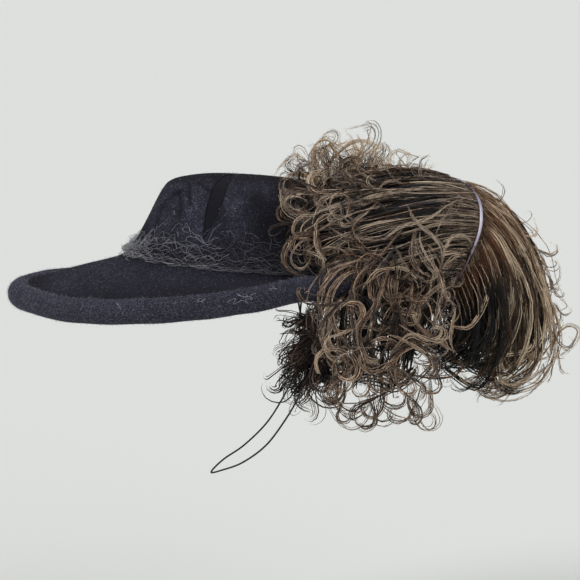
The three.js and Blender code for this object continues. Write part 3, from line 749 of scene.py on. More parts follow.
# loose fibres on the felt, more where the nap mask is high; that mask also carries painted light
def fibreGroup():
    tree, given, end = newGroup("looseFibres", "GeometryNodeTree", [
        ("Geometry", "Geometry", None), ("Density", "Float", 90000.0), ("Length", "Float", 0.0012),
        ("Thickness", "Float", 0.00005), ("Lean", "Float", 1.1), ("Seed", "Int", 1),
        ("Material", "Material", None),
    ], [("Geometry", "Geometry")])
    amount = times(tree, given["Density"], ranged(tree, pointValue(tree, "napAndLight"), 0.0, 1.0, 0.25, 1.0))
    spots = newNode(tree, "GeometryNodeDistributePointsOnFaces", {
        "Mesh": given["Geometry"], "Density": amount, "Seed": given["Seed"],
    })
    lean = value(tree, "FunctionNodeRandomValue", {0: (-1, -1, -3.14), 1: (1, 1, 3.14),
                                                   "Seed": given["Seed"]},
                 data_type="FLOAT_VECTOR")
    lean = value(tree, "ShaderNodeVectorMath", {0: lean,
                                                1: combined(tree, given["Lean"], given["Lean"], 1.0)},
                 operation="MULTIPLY")
    turned = rotated(tree, spots.outputs["Rotation"], value(tree, "FunctionNodeEulerToRotation",
                                                            {"Euler": lean}))
    fibre = blade(tree, given["Length"], given["Thickness"])
    fibres = placedOn(tree, spots.outputs["Points"], fibre, turned, randomValue(tree, 0.4, 1.3, 9))
    return putOut(tree, fibres, given, end)


# a tube along each guide line, with short barbules on it
def sweepGroup():
    tree, given, end = newGroup("barbSweep", "GeometryNodeTree", [
        ("Geometry", "Geometry", None), ("Sides", "Int", 4), ("Flatness", "Float", 0.45),
        ("Hair Spacing", "Float", 0.0018), ("Hair Length", "Float", 0.0024),
        ("Hair Thickness", "Float", 0.0001), ("Hair Angle", "Float", 0.55), ("Seed", "Int", 1),
        ("Material", "Material", None),
    ], [("Geometry", "Geometry")])
    curve = value(tree, "GeometryNodeSetCurveTilt", {
        "Curve": value(tree, "GeometryNodeMeshToCurve", {"Mesh": given["Geometry"]}),
        "Tilt": times(tree, pointValue(tree, "tone"), 40.0),
    })
    # the section keeps which edge of the barb a point is on
    ring = value(tree, "GeometryNodeCurvePrimitiveCircle", {"Resolution": given["Sides"], "Radius": 1.0})
    place = value(tree, "ShaderNodeSeparateXYZ", {0: value(tree, "GeometryNodeInputPosition", {})})
    marked = value(tree, "GeometryNodeStoreNamedAttribute",
                   {"Geometry": ring, "Name": "across", "Value": place}, data_type="FLOAT")
    section = value(tree, "GeometryNodeTransform", {"Geometry": marked,
                                                    "Scale": combined(tree, 1.0, given["Flatness"], 1.0)})
    barb = value(tree, "GeometryNodeCurveToMesh", {
        "Curve": curve, "Profile Curve": section, "Scale": pointValue(tree, "width"), "Fill Caps": True,
    })
    spots = newNode(tree, "GeometryNodeCurveToPoints", {"Curve": curve, "Length": given["Hair Spacing"]},
                    mode="LENGTH")
    spun = rotatedRound(tree, spots.outputs["Rotation"], (0, 0, 1),
                        randomValue(tree, 0.0, 6.283, given["Seed"]))
    leaned = rotatedRound(tree, spun, (1, 0, 0), given["Hair Angle"])
    hair = blade(tree, given["Hair Length"], given["Hair Thickness"])
    hairs = placedOn(tree, spots.outputs["Points"], hair, leaned, randomValue(tree, 0.45, 1.25, 7))
    joined = newNode(tree, "GeometryNodeJoinGeometry", {"Geometry": hairs})
    plug(joined, {"Geometry": barb})
    return putOut(tree, joined.outputs["Geometry"], given, end)


barbSweep = sweepGroup()


# guide lines for threads and barbs, which carry width, tone, place and run
class Lines:
    def __init__(self):
        self.ways, self.edges, self.count = [], [], 0
        self.values = {"width": [], "tone": [], "along": [], "run": []}

    def add(self, way, width, tone):
        steps = len(way)
        self.ways.append(way)
        for name, values in (("width", np.broadcast_to(width, steps) * mm), ("tone", np.full(steps, tone)),
                             ("along", np.linspace(0, 1, steps)), ("run", runAlong(way))):
            self.values[name].append(values)
        index = self.count + np.arange(steps - 1)
        self.edges.append(np.stack([index, index + 1], 1))
        self.count += steps

    def grow(self, name, material, hairAngle=0.55, sides=3, flatness=0.45, hairSpacing=1.5, hairLength=2.4,
             hairThickness=0.1, seed=1):
        mesh = newMesh(name, np.vstack(self.ways), [], np.vstack(self.edges).tolist())
        for label, values in self.values.items():
            giveAttribute(mesh, label, np.concatenate(values))
        source = newObject(name + "Lines", mesh)
        piece = runTree(name, source, barbSweep, {
            "Sides": sides, "Flatness": flatness, "Hair Spacing": hairSpacing * mm,
            "Hair Length": hairLength * mm, "Hair Thickness": hairThickness * mm, "Hair Angle": hairAngle,
            "Seed": seed, "Material": material,
        })
        dropObject(source)
        print(name, sum(len(p.vertices) - 2 for p in piece.data.polygons), "triangles")
        return piece


# loose fibres

fibres = {
    "settings": {"Length": 0.0014, "Thickness": 0.00009, "Lean": 1.4},
    # name, felt, fibres a square metre and seed
    "pieces": [("bodyFibres", feltBody, 190000.0, 3), ("rollFibres", rimRoll, 520000.0, 5)],
}


def makeFibres(setup):
    tree = fibreGroup()
    fuzz, fuzzTree, shader = newMaterial("felt fibre", {
        "Roughness": 0.85, "Specular IOR Level": 0.1, "Sheen Weight": 0.05,
    })
    base = colour(132, 131, 148)[:3]
    plug(shader, {"Base Color": mixed(fuzzTree, noise(fuzzTree, objectPlace(fuzzTree), 300.0, 3.0),
                                      [c * 0.6 for c in base] + [1], [min(1, c * 1.4) for c in base] + [1])})
    for name, source, density, seed in setup["pieces"]:
        piece = runTree(name, source, tree, {**setup["settings"], "Density": density, "Seed": seed,
                                             "Material": fuzz})
        seat(piece, "wool_felt")
        print(name, len(piece.data.polygons))


makeFibres(fibres)


# veil: a crumpled net gathered round the foot of the crown

veil = {
    "seed": 12,
    "layers": 2,
    "columns": 52,
    "rows": 17,
    "gathers": 24,
    "gatherPoints": 170,
    "loops": 34,
    "thread": 0.115,
    # shares of the net's threads and of gathered pieces that are worn or hidden, and a piece's steps
    "dropped": 0.56,
    "pieceDropped": 0.25,
    "pieceSteps": 10,
    # degrees from the front, lowest and highest place counted in levels up from the crown's foot
    "edges": [(0, 0.4, 1.7), (20, 0.35, 2.3), (40, 0.3, 3.2), (70, 0.25, 3.5), (100, 0.2, 2.7),
              (140, 0.2, 2.0), (180, 0.2, 2.0)],
    # degrees from the front and tone: paler at the front, where the light falls, and darker round the near
    # side under the plumes, painted light and shade
    "litAndShadedTones": [(0, 0.66), (60, 0.46), (85, 0.16), (110, 0.08), (180, 0.24)],
}


def makeVeil(setup):
    rng = np.random.default_rng(setup["seed"])
    lines = Lines()
    thread, foot = setup["thread"], len(feltShape["levels"])

    def read(table, turns, column):
        return np.interp(fromFront(turns), *np.array(setup[table], float)[:, [0, column]].T)

    # points over the crown, at a share of the band's height and a wander from there
    def overCrown(turns, share, wander, off):
        low, high = read("edges", turns, 1), read("edges", turns, 2)
        return onCrown(turns, foot - np.clip(low + (high - low) * share + wander, 0.05, foot - 1), off)

    for layer in range(setup["layers"]):
        columns, rows = setup["columns"] + 5 * layer, setup["rows"]
        phase = rng.uniform(*anyPhase, 6)
        knots, spots = [], []
        for row in range(rows + 1):
            turns = (np.arange(columns) + (row % 2) * 0.5 + layer * 0.3) * 360 / columns
            sway = 2.4 * np.sin(np.radians(turns) * 7 + phase[1] + row * 0.5)
            turns = turns + rng.normal(0, 1.5, columns) + sway
            share = (row / rows) ** 1.45
            folds = 0.3 * np.sin(np.radians(turns) * (5 + layer) + phase[0] + row * 0.35)
            folds = folds + 0.2 * np.sin(np.radians(turns) * 17 + phase[2] + row)
            wander = folds * (0.3 + share) + rng.normal(0, 0.13, columns)
            off = 0.5 + 0.6 * layer + np.abs(rng.normal(0, 0.8, columns)) * (1.4 - share)
            off += 2.2 * np.exp(-((turns + 180) % 360 - 180) ** 2 / 196) * (1 - share)
            knots.append(overCrown(turns, share * (0.8 + 0.16 * layer), wander, off))
            spots.append(turns)
        for row, column, step in np.ndindex(rows, columns, 2):
            if rng.random() < setup["dropped"] + 0.1 * (row / rows):
                continue
            a, b = knots[row][column], knots[row + 1][(column + step - 1 + row % 2) % columns]
            t = np.linspace(0, 1, 3)[:, None]
            way = a * (1 - t) + b * t + np.sin(t * math.pi) * rng.normal(0, 0.7, 3)
            # painted light and shade: a thread's tone follows its turn from the front
            tone = read("litAndShadedTones", spots[row][column], 1)
            lines.add(way, thread * rng.uniform(0.6, 1.15), tone * rng.uniform(0.1, 1.15) ** 2 * 1.5)
    # threads pulled along the band where the net is gathered
    for _ in range(setup["gathers"]):
        count, steps = setup["gatherPoints"], setup["pieceSteps"]
        turns = np.linspace(-175, 175, count) + rng.uniform(-4, 4)
        share = rng.uniform(0, 0.8) ** 1.5
        wander = sum(rng.normal(0, 0.15) * np.sin(np.radians(turns) * k + rng.uniform(*anyPhase))
                     for k in (3, 7, 13, 26, 41))
        way = overCrown(turns, share, wander, 0.8 + np.abs(rng.normal(0, 0.7, count)))
        for first in range(0, count - steps - 1, steps):
            if rng.random() < setup["pieceDropped"]:
                continue
            lines.add(way[first:first + steps + 1], thread * rng.uniform(0.6, 1.0),
                      read("litAndShadedTones", turns[first + steps // 2], 1) * rng.uniform(0.3, 1.3) ** 2 * 1.2)
    # loops that stand off the gathered edge at the front and droop
    for _ in range(setup["loops"]):
        turn = rng.normal(2, 15)
        place = foot - rng.uniform(0.05, 1.7)
        a = onCrown(turn, place, 0.6)
        b = onCrown(turn + rng.normal(0, 4), place - rng.normal(0, 0.5), 0.6)
        out = unit(onCrown(turn, place, 2.0) - a)
        t = np.linspace(0, 1, 13)[:, None]
        curly = np.sin(t * rng.uniform(6, 12) + rng.uniform(*anyPhase)) * rng.normal(0, 0.7, 3)
        bow = out * rng.uniform(1.5, 5.5) + rng.normal(0, 1.4, 3)
        way = a * (1 - t) + b * t + np.sin(t * math.pi) * bow + curly
        way[:, 2] -= np.sin(t[:, 0] * math.pi) * rng.uniform(0, 5)
        lines.add(way, thread * rng.uniform(1.2, 1.6), rng.uniform(0.35, 0.8))
    material, tree, shader = newMaterial("veil thread", {
        "Roughness": 0.55, "Specular IOR Level": 0.4, "Sheen Weight": 0.2,
    })
    tint = mixed(tree, shaderAttribute(tree, "tone"), colour(16, 16, 21), colour(192, 192, 202))
    plug(shader, {"Base Color": tint})
    piece = lines.grow("veilNet", material, flatness=1.0, hairSpacing=30, hairLength=1.2, hairThickness=0.04,
                       seed=2)
    seat(piece, "veil_thread", "veil_net")
    return material


veilThread = makeVeil(veil)


# a few curly threads caught on the roll

lint = {
    "seed": 8,
    "thread": 0.11,
    "points": 14,
    "off": 0.25,
    # turn from the front in degrees, place round the roll and length
    "threads": [(96, 36, 10), (98, 24, 8), (94, 16, 7), (86, 40, 5), (78, 30, 5), (104, 44, 5), (64, 34, 4),
                (97, 8, 6)],
}


def makeLint(setup):
    rng = np.random.default_rng(setup["seed"])
    lines = Lines()
    t = np.linspace(-0.5, 0.5, setup["points"])
    for turn, section, length in setup["threads"]:
        bend = rng.uniform(-18, 18)
        turns = np.radians(turn + (t * length * 0.3) + np.sin(t * 9 + rng.uniform(0, 6)) * 0.7)
        sections = section + t * bend + np.cos(t * 8 + rng.uniform(0, 6)) * 9
        off = rollShape["radius"] + setup["off"]
        way = np.array([rollPoints(np.array([a]), b, off)[0] for a, b in zip(turns, sections)])
        lines.add(way, setup["thread"], rng.uniform(0.45, 0.8))
    seat(lines.grow("rollLint", veilThread, flatness=1.0, hairSpacing=30, seed=3), "wool_felt")


makeLint(lint)


# feather barbs: streaks run along each barb, its edges are paler and its root may be rusty

def barbGroup():
    tree, given, end = newGroup("barbStreaks", "ShaderNodeTree", [
        ("Dark", "Color", colour(20, 17, 16)), ("Middle", "Color", colour(74, 64, 55)),
        ("Light", "Color", colour(170, 155, 135)), ("Root", "Color", colour(122, 74, 40)),
        ("Root Reach", "Float", 0.0), ("Streaks", "Float", 0.35), ("Cool", "Color", colour(92, 86, 92)),
        ("Warm", "Color", colour(120, 84, 54)),
    ], finishOutputs)
    tone, along, run, across = (shaderAttribute(tree, name) for name in ("tone", "along", "run", "across"))
    place = combined(tree, mathValue(tree, "ADD", times(tree, across, 1.9), times(tree, tone, 37.0)),
                     times(tree, run, 0.11), times(tree, tone, 71.0))
    grain = noise(tree, place, 1.0, 4.0, 0.68)
    body = ranged(tree, tone, 0.0, 0.35, 0.08, 1.0)
    streak = times(tree, ranged(tree, grain, 0.32, 0.68, -1.0, 1.0), body, given["Streaks"])
    edge = times(tree, across, across, times(tree, body, 0.16))
    tips = ranged(tree, along, 0.0, 1.0, -0.08, 0.1)
    final = mathValue(tree, "ADD", mathValue(tree, "ADD", tone, streak), mathValue(tree, "ADD", edge, tips))
    patches = noise(tree, objectPlace(tree), 45.0, 3.0)
    own = value(tree, "ShaderNodeTexNoise", {"W": times(tree, tone, 41.0), "Scale": 1.0, "Detail": 1.0},
                noise_dimensions="1D")
    hue = mixed(tree, ranged(tree, patches, 0.42, 0.66, 0.0, 0.75), given["Middle"], given["Cool"])
    hue = mixed(tree, ranged(tree, own, 0.5, 0.64, 0.0, 0.75), hue, given["Warm"])
    lower = mixed(tree, mathValue(tree, "MULTIPLY", final, 2.0, True), given["Dark"], hue)
    upper = mixed(tree, mathValue(tree, "SUBTRACT", times(tree, final, 2.0), 1.0, True), lower,
                  given["Light"])
    rusty = mathValue(tree, "MULTIPLY", times(tree, ranged(tree, along, 0.02, 0.24, 1.0, 0.0), grain),
                      given["Root Reach"], True)
    plug(end, {"Color": mixed(tree, rusty, upper, given["Root"]), "Height": grain,
               "Roughness": ranged(tree, grain, 0.0, 1.0, 0.3, 0.72)})
    return tree


barbStreaks = barbGroup()
# dark, middle, light, cool and warm colour, reach of the rust and strength of the streaks
barbFinishes = {
    "comb barbs": ((10, 8, 8), (86, 68, 56), (226, 204, 180), (72, 70, 78), (126, 84, 50), 0.0, 0.6),
    "fall barbs": ((7, 5, 5), (116, 89, 65), (246, 224, 194), (100, 86, 76), (142, 94, 50), 1.6, 0.6),
    "curl barbs": ((9, 7, 7), (78, 60, 51), (218, 192, 166), (62, 57, 63), (124, 78, 44), 0.0, 0.6),
    # dark barbs: the feathers' own dark undersides and also painted shade, for barbs that lie under and
    # behind the plume
    "dark barbs": ((4, 3, 3), (30, 22, 20), (112, 88, 76), (26, 22, 24), (44, 27, 19), 0.0, 0.35),
    "light barbs": ((52, 37, 26), (164, 131, 96), (242, 216, 178), (130, 112, 92), (164, 118, 72), 0.0, 0.5),
}
barbAngle = 0.4  # between a barb and its barbules
barbMaterials = {}
for name, (*tints, rootReach, streaks) in barbFinishes.items():
    values = dict(zip(("Dark", "Middle", "Light", "Cool", "Warm"), (colour(*tint) for tint in tints)))
    barbMaterials[name] = groupMaterial(
        name, barbStreaks, {"Specular IOR Level": 0.3, "Sheen Weight": 0.04, "Sheen Roughness": 0.5},
        {**values, "Root Reach": rootReach, "Streaks": streaks}, 0.5, 0.0004)

hatSolids = []
for node in (frame["nodes"]["felt_body"], frame["nodes"]["rim_roll"]):
    corners = [v.co.copy() for v in node.data.vertices]
    hatSolids.append(BVHTree.FromPolygons(corners, [tuple(p.vertices) for p in node.data.polygons]))


# where barbs can meet the hat and its crown: half width, middle and half length, and lowest height
hatReach, crownReach = (135, -27, 165, -22), (82, 0, 100, 14)


def within(point, reach):
    halfWidth, middle, halfLength, lowest = reach
    return abs(point[0]) <= halfWidth and abs(point[1] - middle) <= halfLength and point[2] >= lowest


# steps from a plume's own seed, one for each way in which its barbs are laid
seedSteps = {"bend": 20, "drawn": 40, "rings": 50, "backing": 60, "tangle": 70, "flyaways": 80}


def ownRandom(plume, purpose):
    return np.random.default_rng(plume["seed"] + seedSteps[purpose])


# the points of a plume's rows, after each row's radius, turn and tone
def rowPoints(plume):
    return np.array([np.reshape(row[3:], (-1, 3)) for row in plume["rows"]], float)


# moves points of barbs out of the felt, to a margin off it
def clearOfFelt(points, margin):
    for k, point in enumerate(points):
        if not within(point, hatReach):
            continue
        place = Vector(point * mm)
        if within(point, crownReach):
            near, normal, _, distance = crownSurface.find_nearest(place)
            if near is not None and (place - near).dot(normal) < margin * mm and distance < 0.03:
                points[k] = np.array(near + normal * margin * mm) / mm
                continue
        for solid in hatSolids:
            near, normal, _, distance = solid.find_nearest(place, 0.012)
            if near is not None and (place - near).dot(normal) < margin * mm:
                points[k] = np.array(near + normal * margin * mm) / mm
                break
    return points


# a curl that starts along a heading, turns to a side and tightens
def curlEnd(start, heading, side, radius, turn, tighten, steps, uneven=(0, 0)):
    angles = (np.arange(steps) + 0.5) / steps * turn
    radii = radius * (1 - tighten * angles / turn) * (1 + uneven[0] * np.sin(1.7 * angles + uneven[1]))
    directions = np.cos(angles)[:, None] * heading + np.sin(angles)[:, None] * side
    return start + np.cumsum(directions * (radii * turn / steps)[:, None], axis=0)


def withCurl(spine, *curl):
    return np.vstack([spine, curlEnd(spine[-1], unit(spine[-1] - spine[-2]), *curl)])


# lays a lock's barbs beside its spine, nested where it curls
def layBarbs(lines, spine, rng, count, width, tone, spacing=1.25, loose=0.6, rootShare=0.3, stray=0.12,
             rootWidth=0.5, gather=0.6):
    steps = len(spine)
    along = unit(np.gradient(spine, axis=0))
    beside = unit(np.cross(along, xAxis) + np.array([0, 1e-6, 1e-6]))
    outward = unit(np.cross(beside, along))
    t = np.linspace(0, 1, steps)
    fan = rootShare + (1 - rootShare) * np.sin(np.clip(t * 1.6, 0, 1) * math.pi / 2)
    fan = fan * (1 - gather * np.clip((t - 0.6) * 2.5, 0, 1))
    for k in range(count):
        lane = (k - (count - 1) / 2) * spacing * width + rng.normal(0, 0.35)
        rise = rng.normal(0, 0.9) * width
        if rng.random() < stray:
            lane, rise = lane + rng.normal(0, 4), rise + rng.normal(0, 3)
        wave, turns, phase = rng.normal(0, loose, 2), rng.uniform(3, 9, 2), rng.uniform(*anyPhase, 2)
        way = (spine + beside * ((lane + wave[0] * np.sin(t * turns[0] + phase[0])) * fan)[:, None]
               + outward * ((rise + wave[1] * np.sin(t * turns[1] + phase[1])) * fan)[:, None])
        cut = rng.uniform(0.86, 1.0)
        places = np.linspace(rng.uniform(0, 0.02) * (steps - 1), cut * (steps - 1), steps)
        way = resample(way, np.arange(steps), places)
        way = clearOfFelt(way + rng.normal(0, 0.13, way.shape), 1.1)
        own = width * rng.uniform(0.6, 1.15)
        taper = np.minimum(1, rootWidth + 3.0 * t) * np.clip((1.02 - t) * 3.4, 0.1, 1)
        lines.add(way, own * taper, tone + rng.normal(0, 0.1))


# broad barbs at the back of the plume, so that light doesn't show through its middle; they are dark, painted
# shade for the plume's shaded inside
def layBacking(lines, plume, rows):
    rng = ownRandom(plume, "backing")
    count, thick, first, reach, tone = plume["backing"]
    widths = np.array([0.4, 0.8, 1, 1, 1, 1, 1, 0.9, 0.6, 0.2])
    for strand in range(count):
        share = first + (0.92 - first) * (strand + rng.uniform(0, 1)) / count
        row = through(rows, share * (len(rows) - 1))[0]
        row = row + plume["inward"] * plume["depth"] * rng.uniform(0.7, 1.1) + rng.normal(0, 2.0, row.shape)
        way = through(row, np.linspace(0.12, reach * rng.uniform(0.8, 1.0) * (len(row) - 1), len(widths)))
        lines.add(clearOfFelt(way, 1.5), thick * rng.uniform(0.7, 1.2) * widths,
                  tone * (1 - share) + rng.uniform(-0.15, 0.12))


# a lock that starts anywhere on the mass and heads any way before it curls
def tossed(rows, share, layer, plume, rng):
    place = rng.uniform(0.1, 1.0) * (rows.shape[1] - 1)
    start = through(through(rows, share)[0], place)[0] + rng.normal(0, 4, 3)
    start = start - xAxis * layer * plume["depth"] * 0.8
    angle = rng.uniform(0, 2 * math.pi)
    heading = np.array([rng.normal(0, 0.3), math.cos(angle), math.sin(angle)])
    bend = rng.normal(0, 5, 3)
    reach = rng.uniform(12, 28)
    return np.array([start - heading * reach / 2, start + bend, start + heading * reach / 2 + bend * 0.3])


def growLocks(lines, plume, rows):
    rng = np.random.default_rng(plume["seed"])
    bend = ownRandom(plume, "bend")
    steps, t = plume["steps"], np.linspace(0, 1, plume["steps"])
    for lock in range(plume["locks"]):
        share = (lock + rng.uniform(0, 1)) / plume["locks"] * (len(rows) - 1)
        layer = rng.random()
        controls = through(rows, share)[0]
        scatter = np.linspace(plume["rootScatter"], plume["scatter"], len(controls))[:, None]
        controls = controls + rng.normal(0, 1, controls.shape) * scatter
        deeper = np.linspace(0.25, 1, len(controls))[:, None]
        controls = controls + plume["inward"] * layer * plume["depth"] * deeper
        radius, turn, tone = plume["rows"][int(round(share))][:3]
        radius = radius * rng.uniform(0.6, 1.3)
        sign = np.sign(turn) * (-1 if rng.random() < plume["contrary"] else 1)
        turn = math.radians(abs(turn)) * rng.uniform(0.6, 1.3)
        lean = rng.normal(0, plume["lean"])
        reach = rng.uniform(*plume["reach"])
        controls[1:] = controls[0] + (controls[1:] - controls[0]) * reach
        if rng.random() < plume["toss"]:
            controls = tossed(rows, share * plume["tossShare"], layer, plume, rng)
        spine = wholeCurve(controls, steps)
        turns = rng.uniform(4, 9)
        sway = rng.normal(0, plume["wave"], 3) * (1, 1, 0.6)
        spine = spine + np.sin(t * turns + rng.uniform(*anyPhase))[:, None] * sway * t[:, None]
        heading = unit(spine[-1] - spine[-2])
        side = unit(np.cross(xAxis, heading)) * sign
        other = np.cross(heading, side)
        side = math.cos(lean) * side + math.sin(lean) * other
        end = curlEnd(spine[-1], heading, side, radius, turn, plume["tighten"], plume["curlSteps"],
                      (bend.uniform(0.12, 0.55), bend.uniform(*anyPhase)))
        end = end + np.linspace(0, 1, len(end))[:, None] * other * rng.normal(0, plume["pitch"])
        # locks deep in the plume are wider and painted darker: painted shade inside the plume
        shadedDepth = max(0.0, layer - 0.45)
        layBarbs(lines, np.vstack([spine, end]), rng, max(1, int(rng.poisson(plume["barbs"]))),
                 plume["width"] * rng.uniform(0.8, 1.15) * (1 + 1.2 * shadedDepth),
                 tone + rng.normal(0, plume["toneSpread"]) - 1.1 * shadedDepth,
                 spacing=plume["spacing"], loose=plume["loose"], rootShare=plume["rootShare"],
                 stray=plume["stray"])


# single barbs that stand off the outline and hook
def layFlyaways(lines, plume, rows):
    rng = ownRandom(plume, "flyaways")
    for _ in range(plume["flyaways"]):
        row = through(rows, rng.uniform(0, 1.3))[0]
        place = rng.uniform(0.2, 0.72) * (len(row) - 1)
        start, ahead = through(row, place)[0], through(row, min(place + 0.3, len(row) - 1))[0]
        outward = unit(np.array([0, start[1] - 90, start[2] - 5]))
        heading = unit(unit(ahead - start) + outward * rng.uniform(0.1, 0.8) + rng.normal(0, 0.2, 3))
        side = unit(np.cross(xAxis, heading)) * rng.choice([-1, 1])
        t = np.linspace(0, 1, 6)[:, None]
        spine = start + heading * np.linspace(0, rng.uniform(5, 15), 6)[:, None] + side * (t ** 2 * 1.5)
        spine = withCurl(spine, side, rng.uniform(2.2, 5), math.radians(rng.uniform(90, 260)), 0.3, 8)
        layBarbs(lines, spine, rng, rng.integers(1, 4), plume["width"] * 0.7, rng.uniform(0.35, 0.75),
                 spacing=1.2, loose=0.3, rootShare=0.6, stray=0.0)


# curls that lie across the front half of the plume
def layTangle(lines, plume, rows):
    rng = ownRandom(plume, "tangle")
    t = np.linspace(0, 1, 9)[:, None]
    for _ in range(plume["tangle"]):
        row = through(rows, rng.uniform(*plume["tangleRows"]))[0]
        place = rng.uniform(0.42, 0.95) * (len(row) - 1)
        start = through(row, place)[0]
        ahead = unit(through(row, min(place + 0.2, len(row) - 1))[0] - through(row, place - 0.2)[0])
        outward = unit(np.array([1, 0, start[2] / 90]))
        beside = unit(np.cross(outward, ahead)) * rng.choice([-1, 1])
        angle = rng.uniform(0.2, 1.5)
        heading = math.cos(angle) * ahead + math.sin(angle) * beside
        side = unit(np.cross(outward, heading)) * rng.choice([-1, 1])
        spine = start + heading * t * rng.uniform(12, 30) + side * t ** 2 * rng.uniform(1, 8)
        spine = spine + outward * (2.5 + 2.5 * np.sin(t * 2.4))
        spine = withCurl(spine, side, rng.uniform(4, 9), math.radians(rng.uniform(120, 300)), 0.4, 11,
                         (0.25, rng.uniform(*anyPhase)))
        layBarbs(lines, spine, rng, int(rng.integers(3, 7)), plume["width"] * 1.1, rng.uniform(0.2, 0.66),
                 loose=0.5, rootShare=0.15, stray=0.08, rootWidth=0.2)


# locks laid one by one, a little narrower and lighter than their tables say
drawnWidth, drawnTone = 0.62, 0.04


def layDrawn(lines, plume, rows):
    rng = ownRandom(plume, "drawn")
    for count, width, tone, *points in plume["drawn"]:
        way = np.reshape(points, (-1, 3))
        spine = evenly(wholeCurve(way, 120), 16 + 2 * len(way))
        spine[:6] -= np.outer(np.linspace(3.0, 0, 6), xAxis)
        layBarbs(lines, spine, rng, count, width * drawnWidth, tone + drawnTone + rng.normal(0, 0.06),
                 loose=0.45, rootShare=0.08, stray=0.06, rootWidth=0.1, gather=0.75)


def layRings(lines, plume, rows):
    rng = ownRandom(plume, "rings")
    t, leadIn = np.linspace(0, 1, 15), np.linspace(1, 0, 6)[:, None]
    for x, y, z, radius, start, sweep, count, tone in plume["rings"]:
        angles = np.radians(start) + np.radians(sweep) * t
        size = radius * (1 - 0.25 * t) * (1 + 0.12 * np.sin(angles * 2 + rng.uniform(*anyPhase)))
        loop = np.stack([x + np.linspace(0, rng.normal(0, 5), len(t)),
                         y + size * np.cos(angles), z + size * np.sin(angles)], 1)
        ahead = unit(loop[1] - loop[0])
        lead = loop[0] - ahead * np.linspace(14, 2, 6)[:, None] + np.array([1, 0, 1.2]) * (leadIn ** 2) * 5
        layBarbs(lines, np.vstack([lead, loop]), rng, count, plume["width"], tone + rng.normal(0, 0.06),
                 spacing=1.4, loose=0.5, rootShare=0.5, stray=0.1, rootWidth=0.3)


# tables of locks laid one by one: barbs, half width, tone, then x,y,z of the points of the way
combLocks = [
    (5, 0.9, 0.5, 86,41,69, 87,32,74, 88,23,75, 89,17,70, 89,17,64, 90,22,60, 91,29,62, 92,31,67),
    (4, 0.9, 0.58, 84,35,59, 86,26,60, 88,18,64, 91,14,69, 93,13,76),
    (4, 0.6, 0.66, 82,78,57, 83,66,55, 84,59,58, 85,60,66, 86,56,72, 87,50,71, 88,47,65, 89,50,58, 90,55,56),
    (2, 0.5, 0.75, 88,43,70, 88,47,61, 89,52,56, 89,58,57),
    (5, 1, 0.58, 88,60,54, 89,52,58, 90,43,58, 91,38,53, 93,37,45, 94,38,37, 95,42,30, 96,47,22, 97,52,15,
     98,57,12, 99,62,14, 101,68,21, 102,74,31, 103,80,40, 104,84,47),
    (3, 0.8, 0.66, 94,30,35, 95,37,32, 96,43,27, 97,47,19, 98,53,13),
    (7, 0.75, 0.42, 82,50,41, 83,36,44, 85,26,44, 86,19,38, 88,16,30, 89,18,23, 91,24,19, 92,33,17),
    (6, 0.7, 0.44, 84,42,39, 85,31,41, 86,25,37, 87,21,30, 87,23,24, 88,28,22, 89,33,27, 90,34,33),
    (6, 0.75, 0.42, 90,99,44, 90,83,42, 90,68,41, 90,57,44, 90,49,48, 90,43,53),
    (5, 0.75, 0.52, 94,96,29, 94,84,24, 93,71,23, 93,60,24, 92,51,26, 92,43,26),
    (5, 0.75, 0.4, 92,88,34, 92,72,29, 92,60,28, 93,52,31, 93,47,36),
    (5, 0.75, 0.62, 88,113,56, 89,102,53, 89,91,48, 90,83,43, 91,74,42, 91,64,44, 92,56,48),
    (4, 0.7, 0.45, 86,89,65, 86,74,62, 86,62,59, 86,52,53, 86,44,51),
    (5, 0.7, 0.52, 78,101,74, 79,83,71, 79,67,67, 80,51,63, 81,39,59, 81,31,53, 82,29,46),
    (3, 0.55, 0.8, 66,143,68, 68,134,66, 71,126,63, 73,119,59, 75,116,55, 77,121,54, 80,128,58, 82,133,64),
    (8, 0.45, 0.56, 88,98,66, 91,104,55, 94,113,47, 96,121,39, 97,122,32, 98,121,24),
    (4, 0.45, 0.72, 90,100,60, 93,107,51, 96,116,44, 98,121,36, 99,121,28),
    (8, 0.45, 0.5, 97,105,51, 99,104,44, 101,106,35, 103,112,26, 106,116,21, 110,114,14, 113,112,7),
    (4, 0.45, 0.66, 98,107,48, 100,107,41, 102,111,32, 105,116,25, 108,118,18),
    (7, 0.45, 0.42, 98,86,40, 101,92,35, 104,95,28, 107,101,21, 110,110,18),
    (7, 0.5, 0.72, 80,144,34, 84,141,41, 88,136,44, 91,129,43, 94,124,36, 96,122,27),
    (5, 0.5, 0.88, 83,140,31, 87,132,30, 92,125,26, 96,121,22),
    (4, 0.45, 0.5, 78,138,68, 82,130,66, 86,126,59, 90,121,54, 93,118,45),
    (5, 0.45, 0.6, 80,130,64, 83,126,64, 87,117,58, 89,112,56, 92,104,53, 94,95,51, 97,83,44),
    (5, 0.5, 0.7, 104,83,23, 106,91,25, 108,98,24, 111,104,18),
    (5, 0.45, 0.6, 100,120,19, 103,123,12, 104,125,5, 103,131,-1),
]
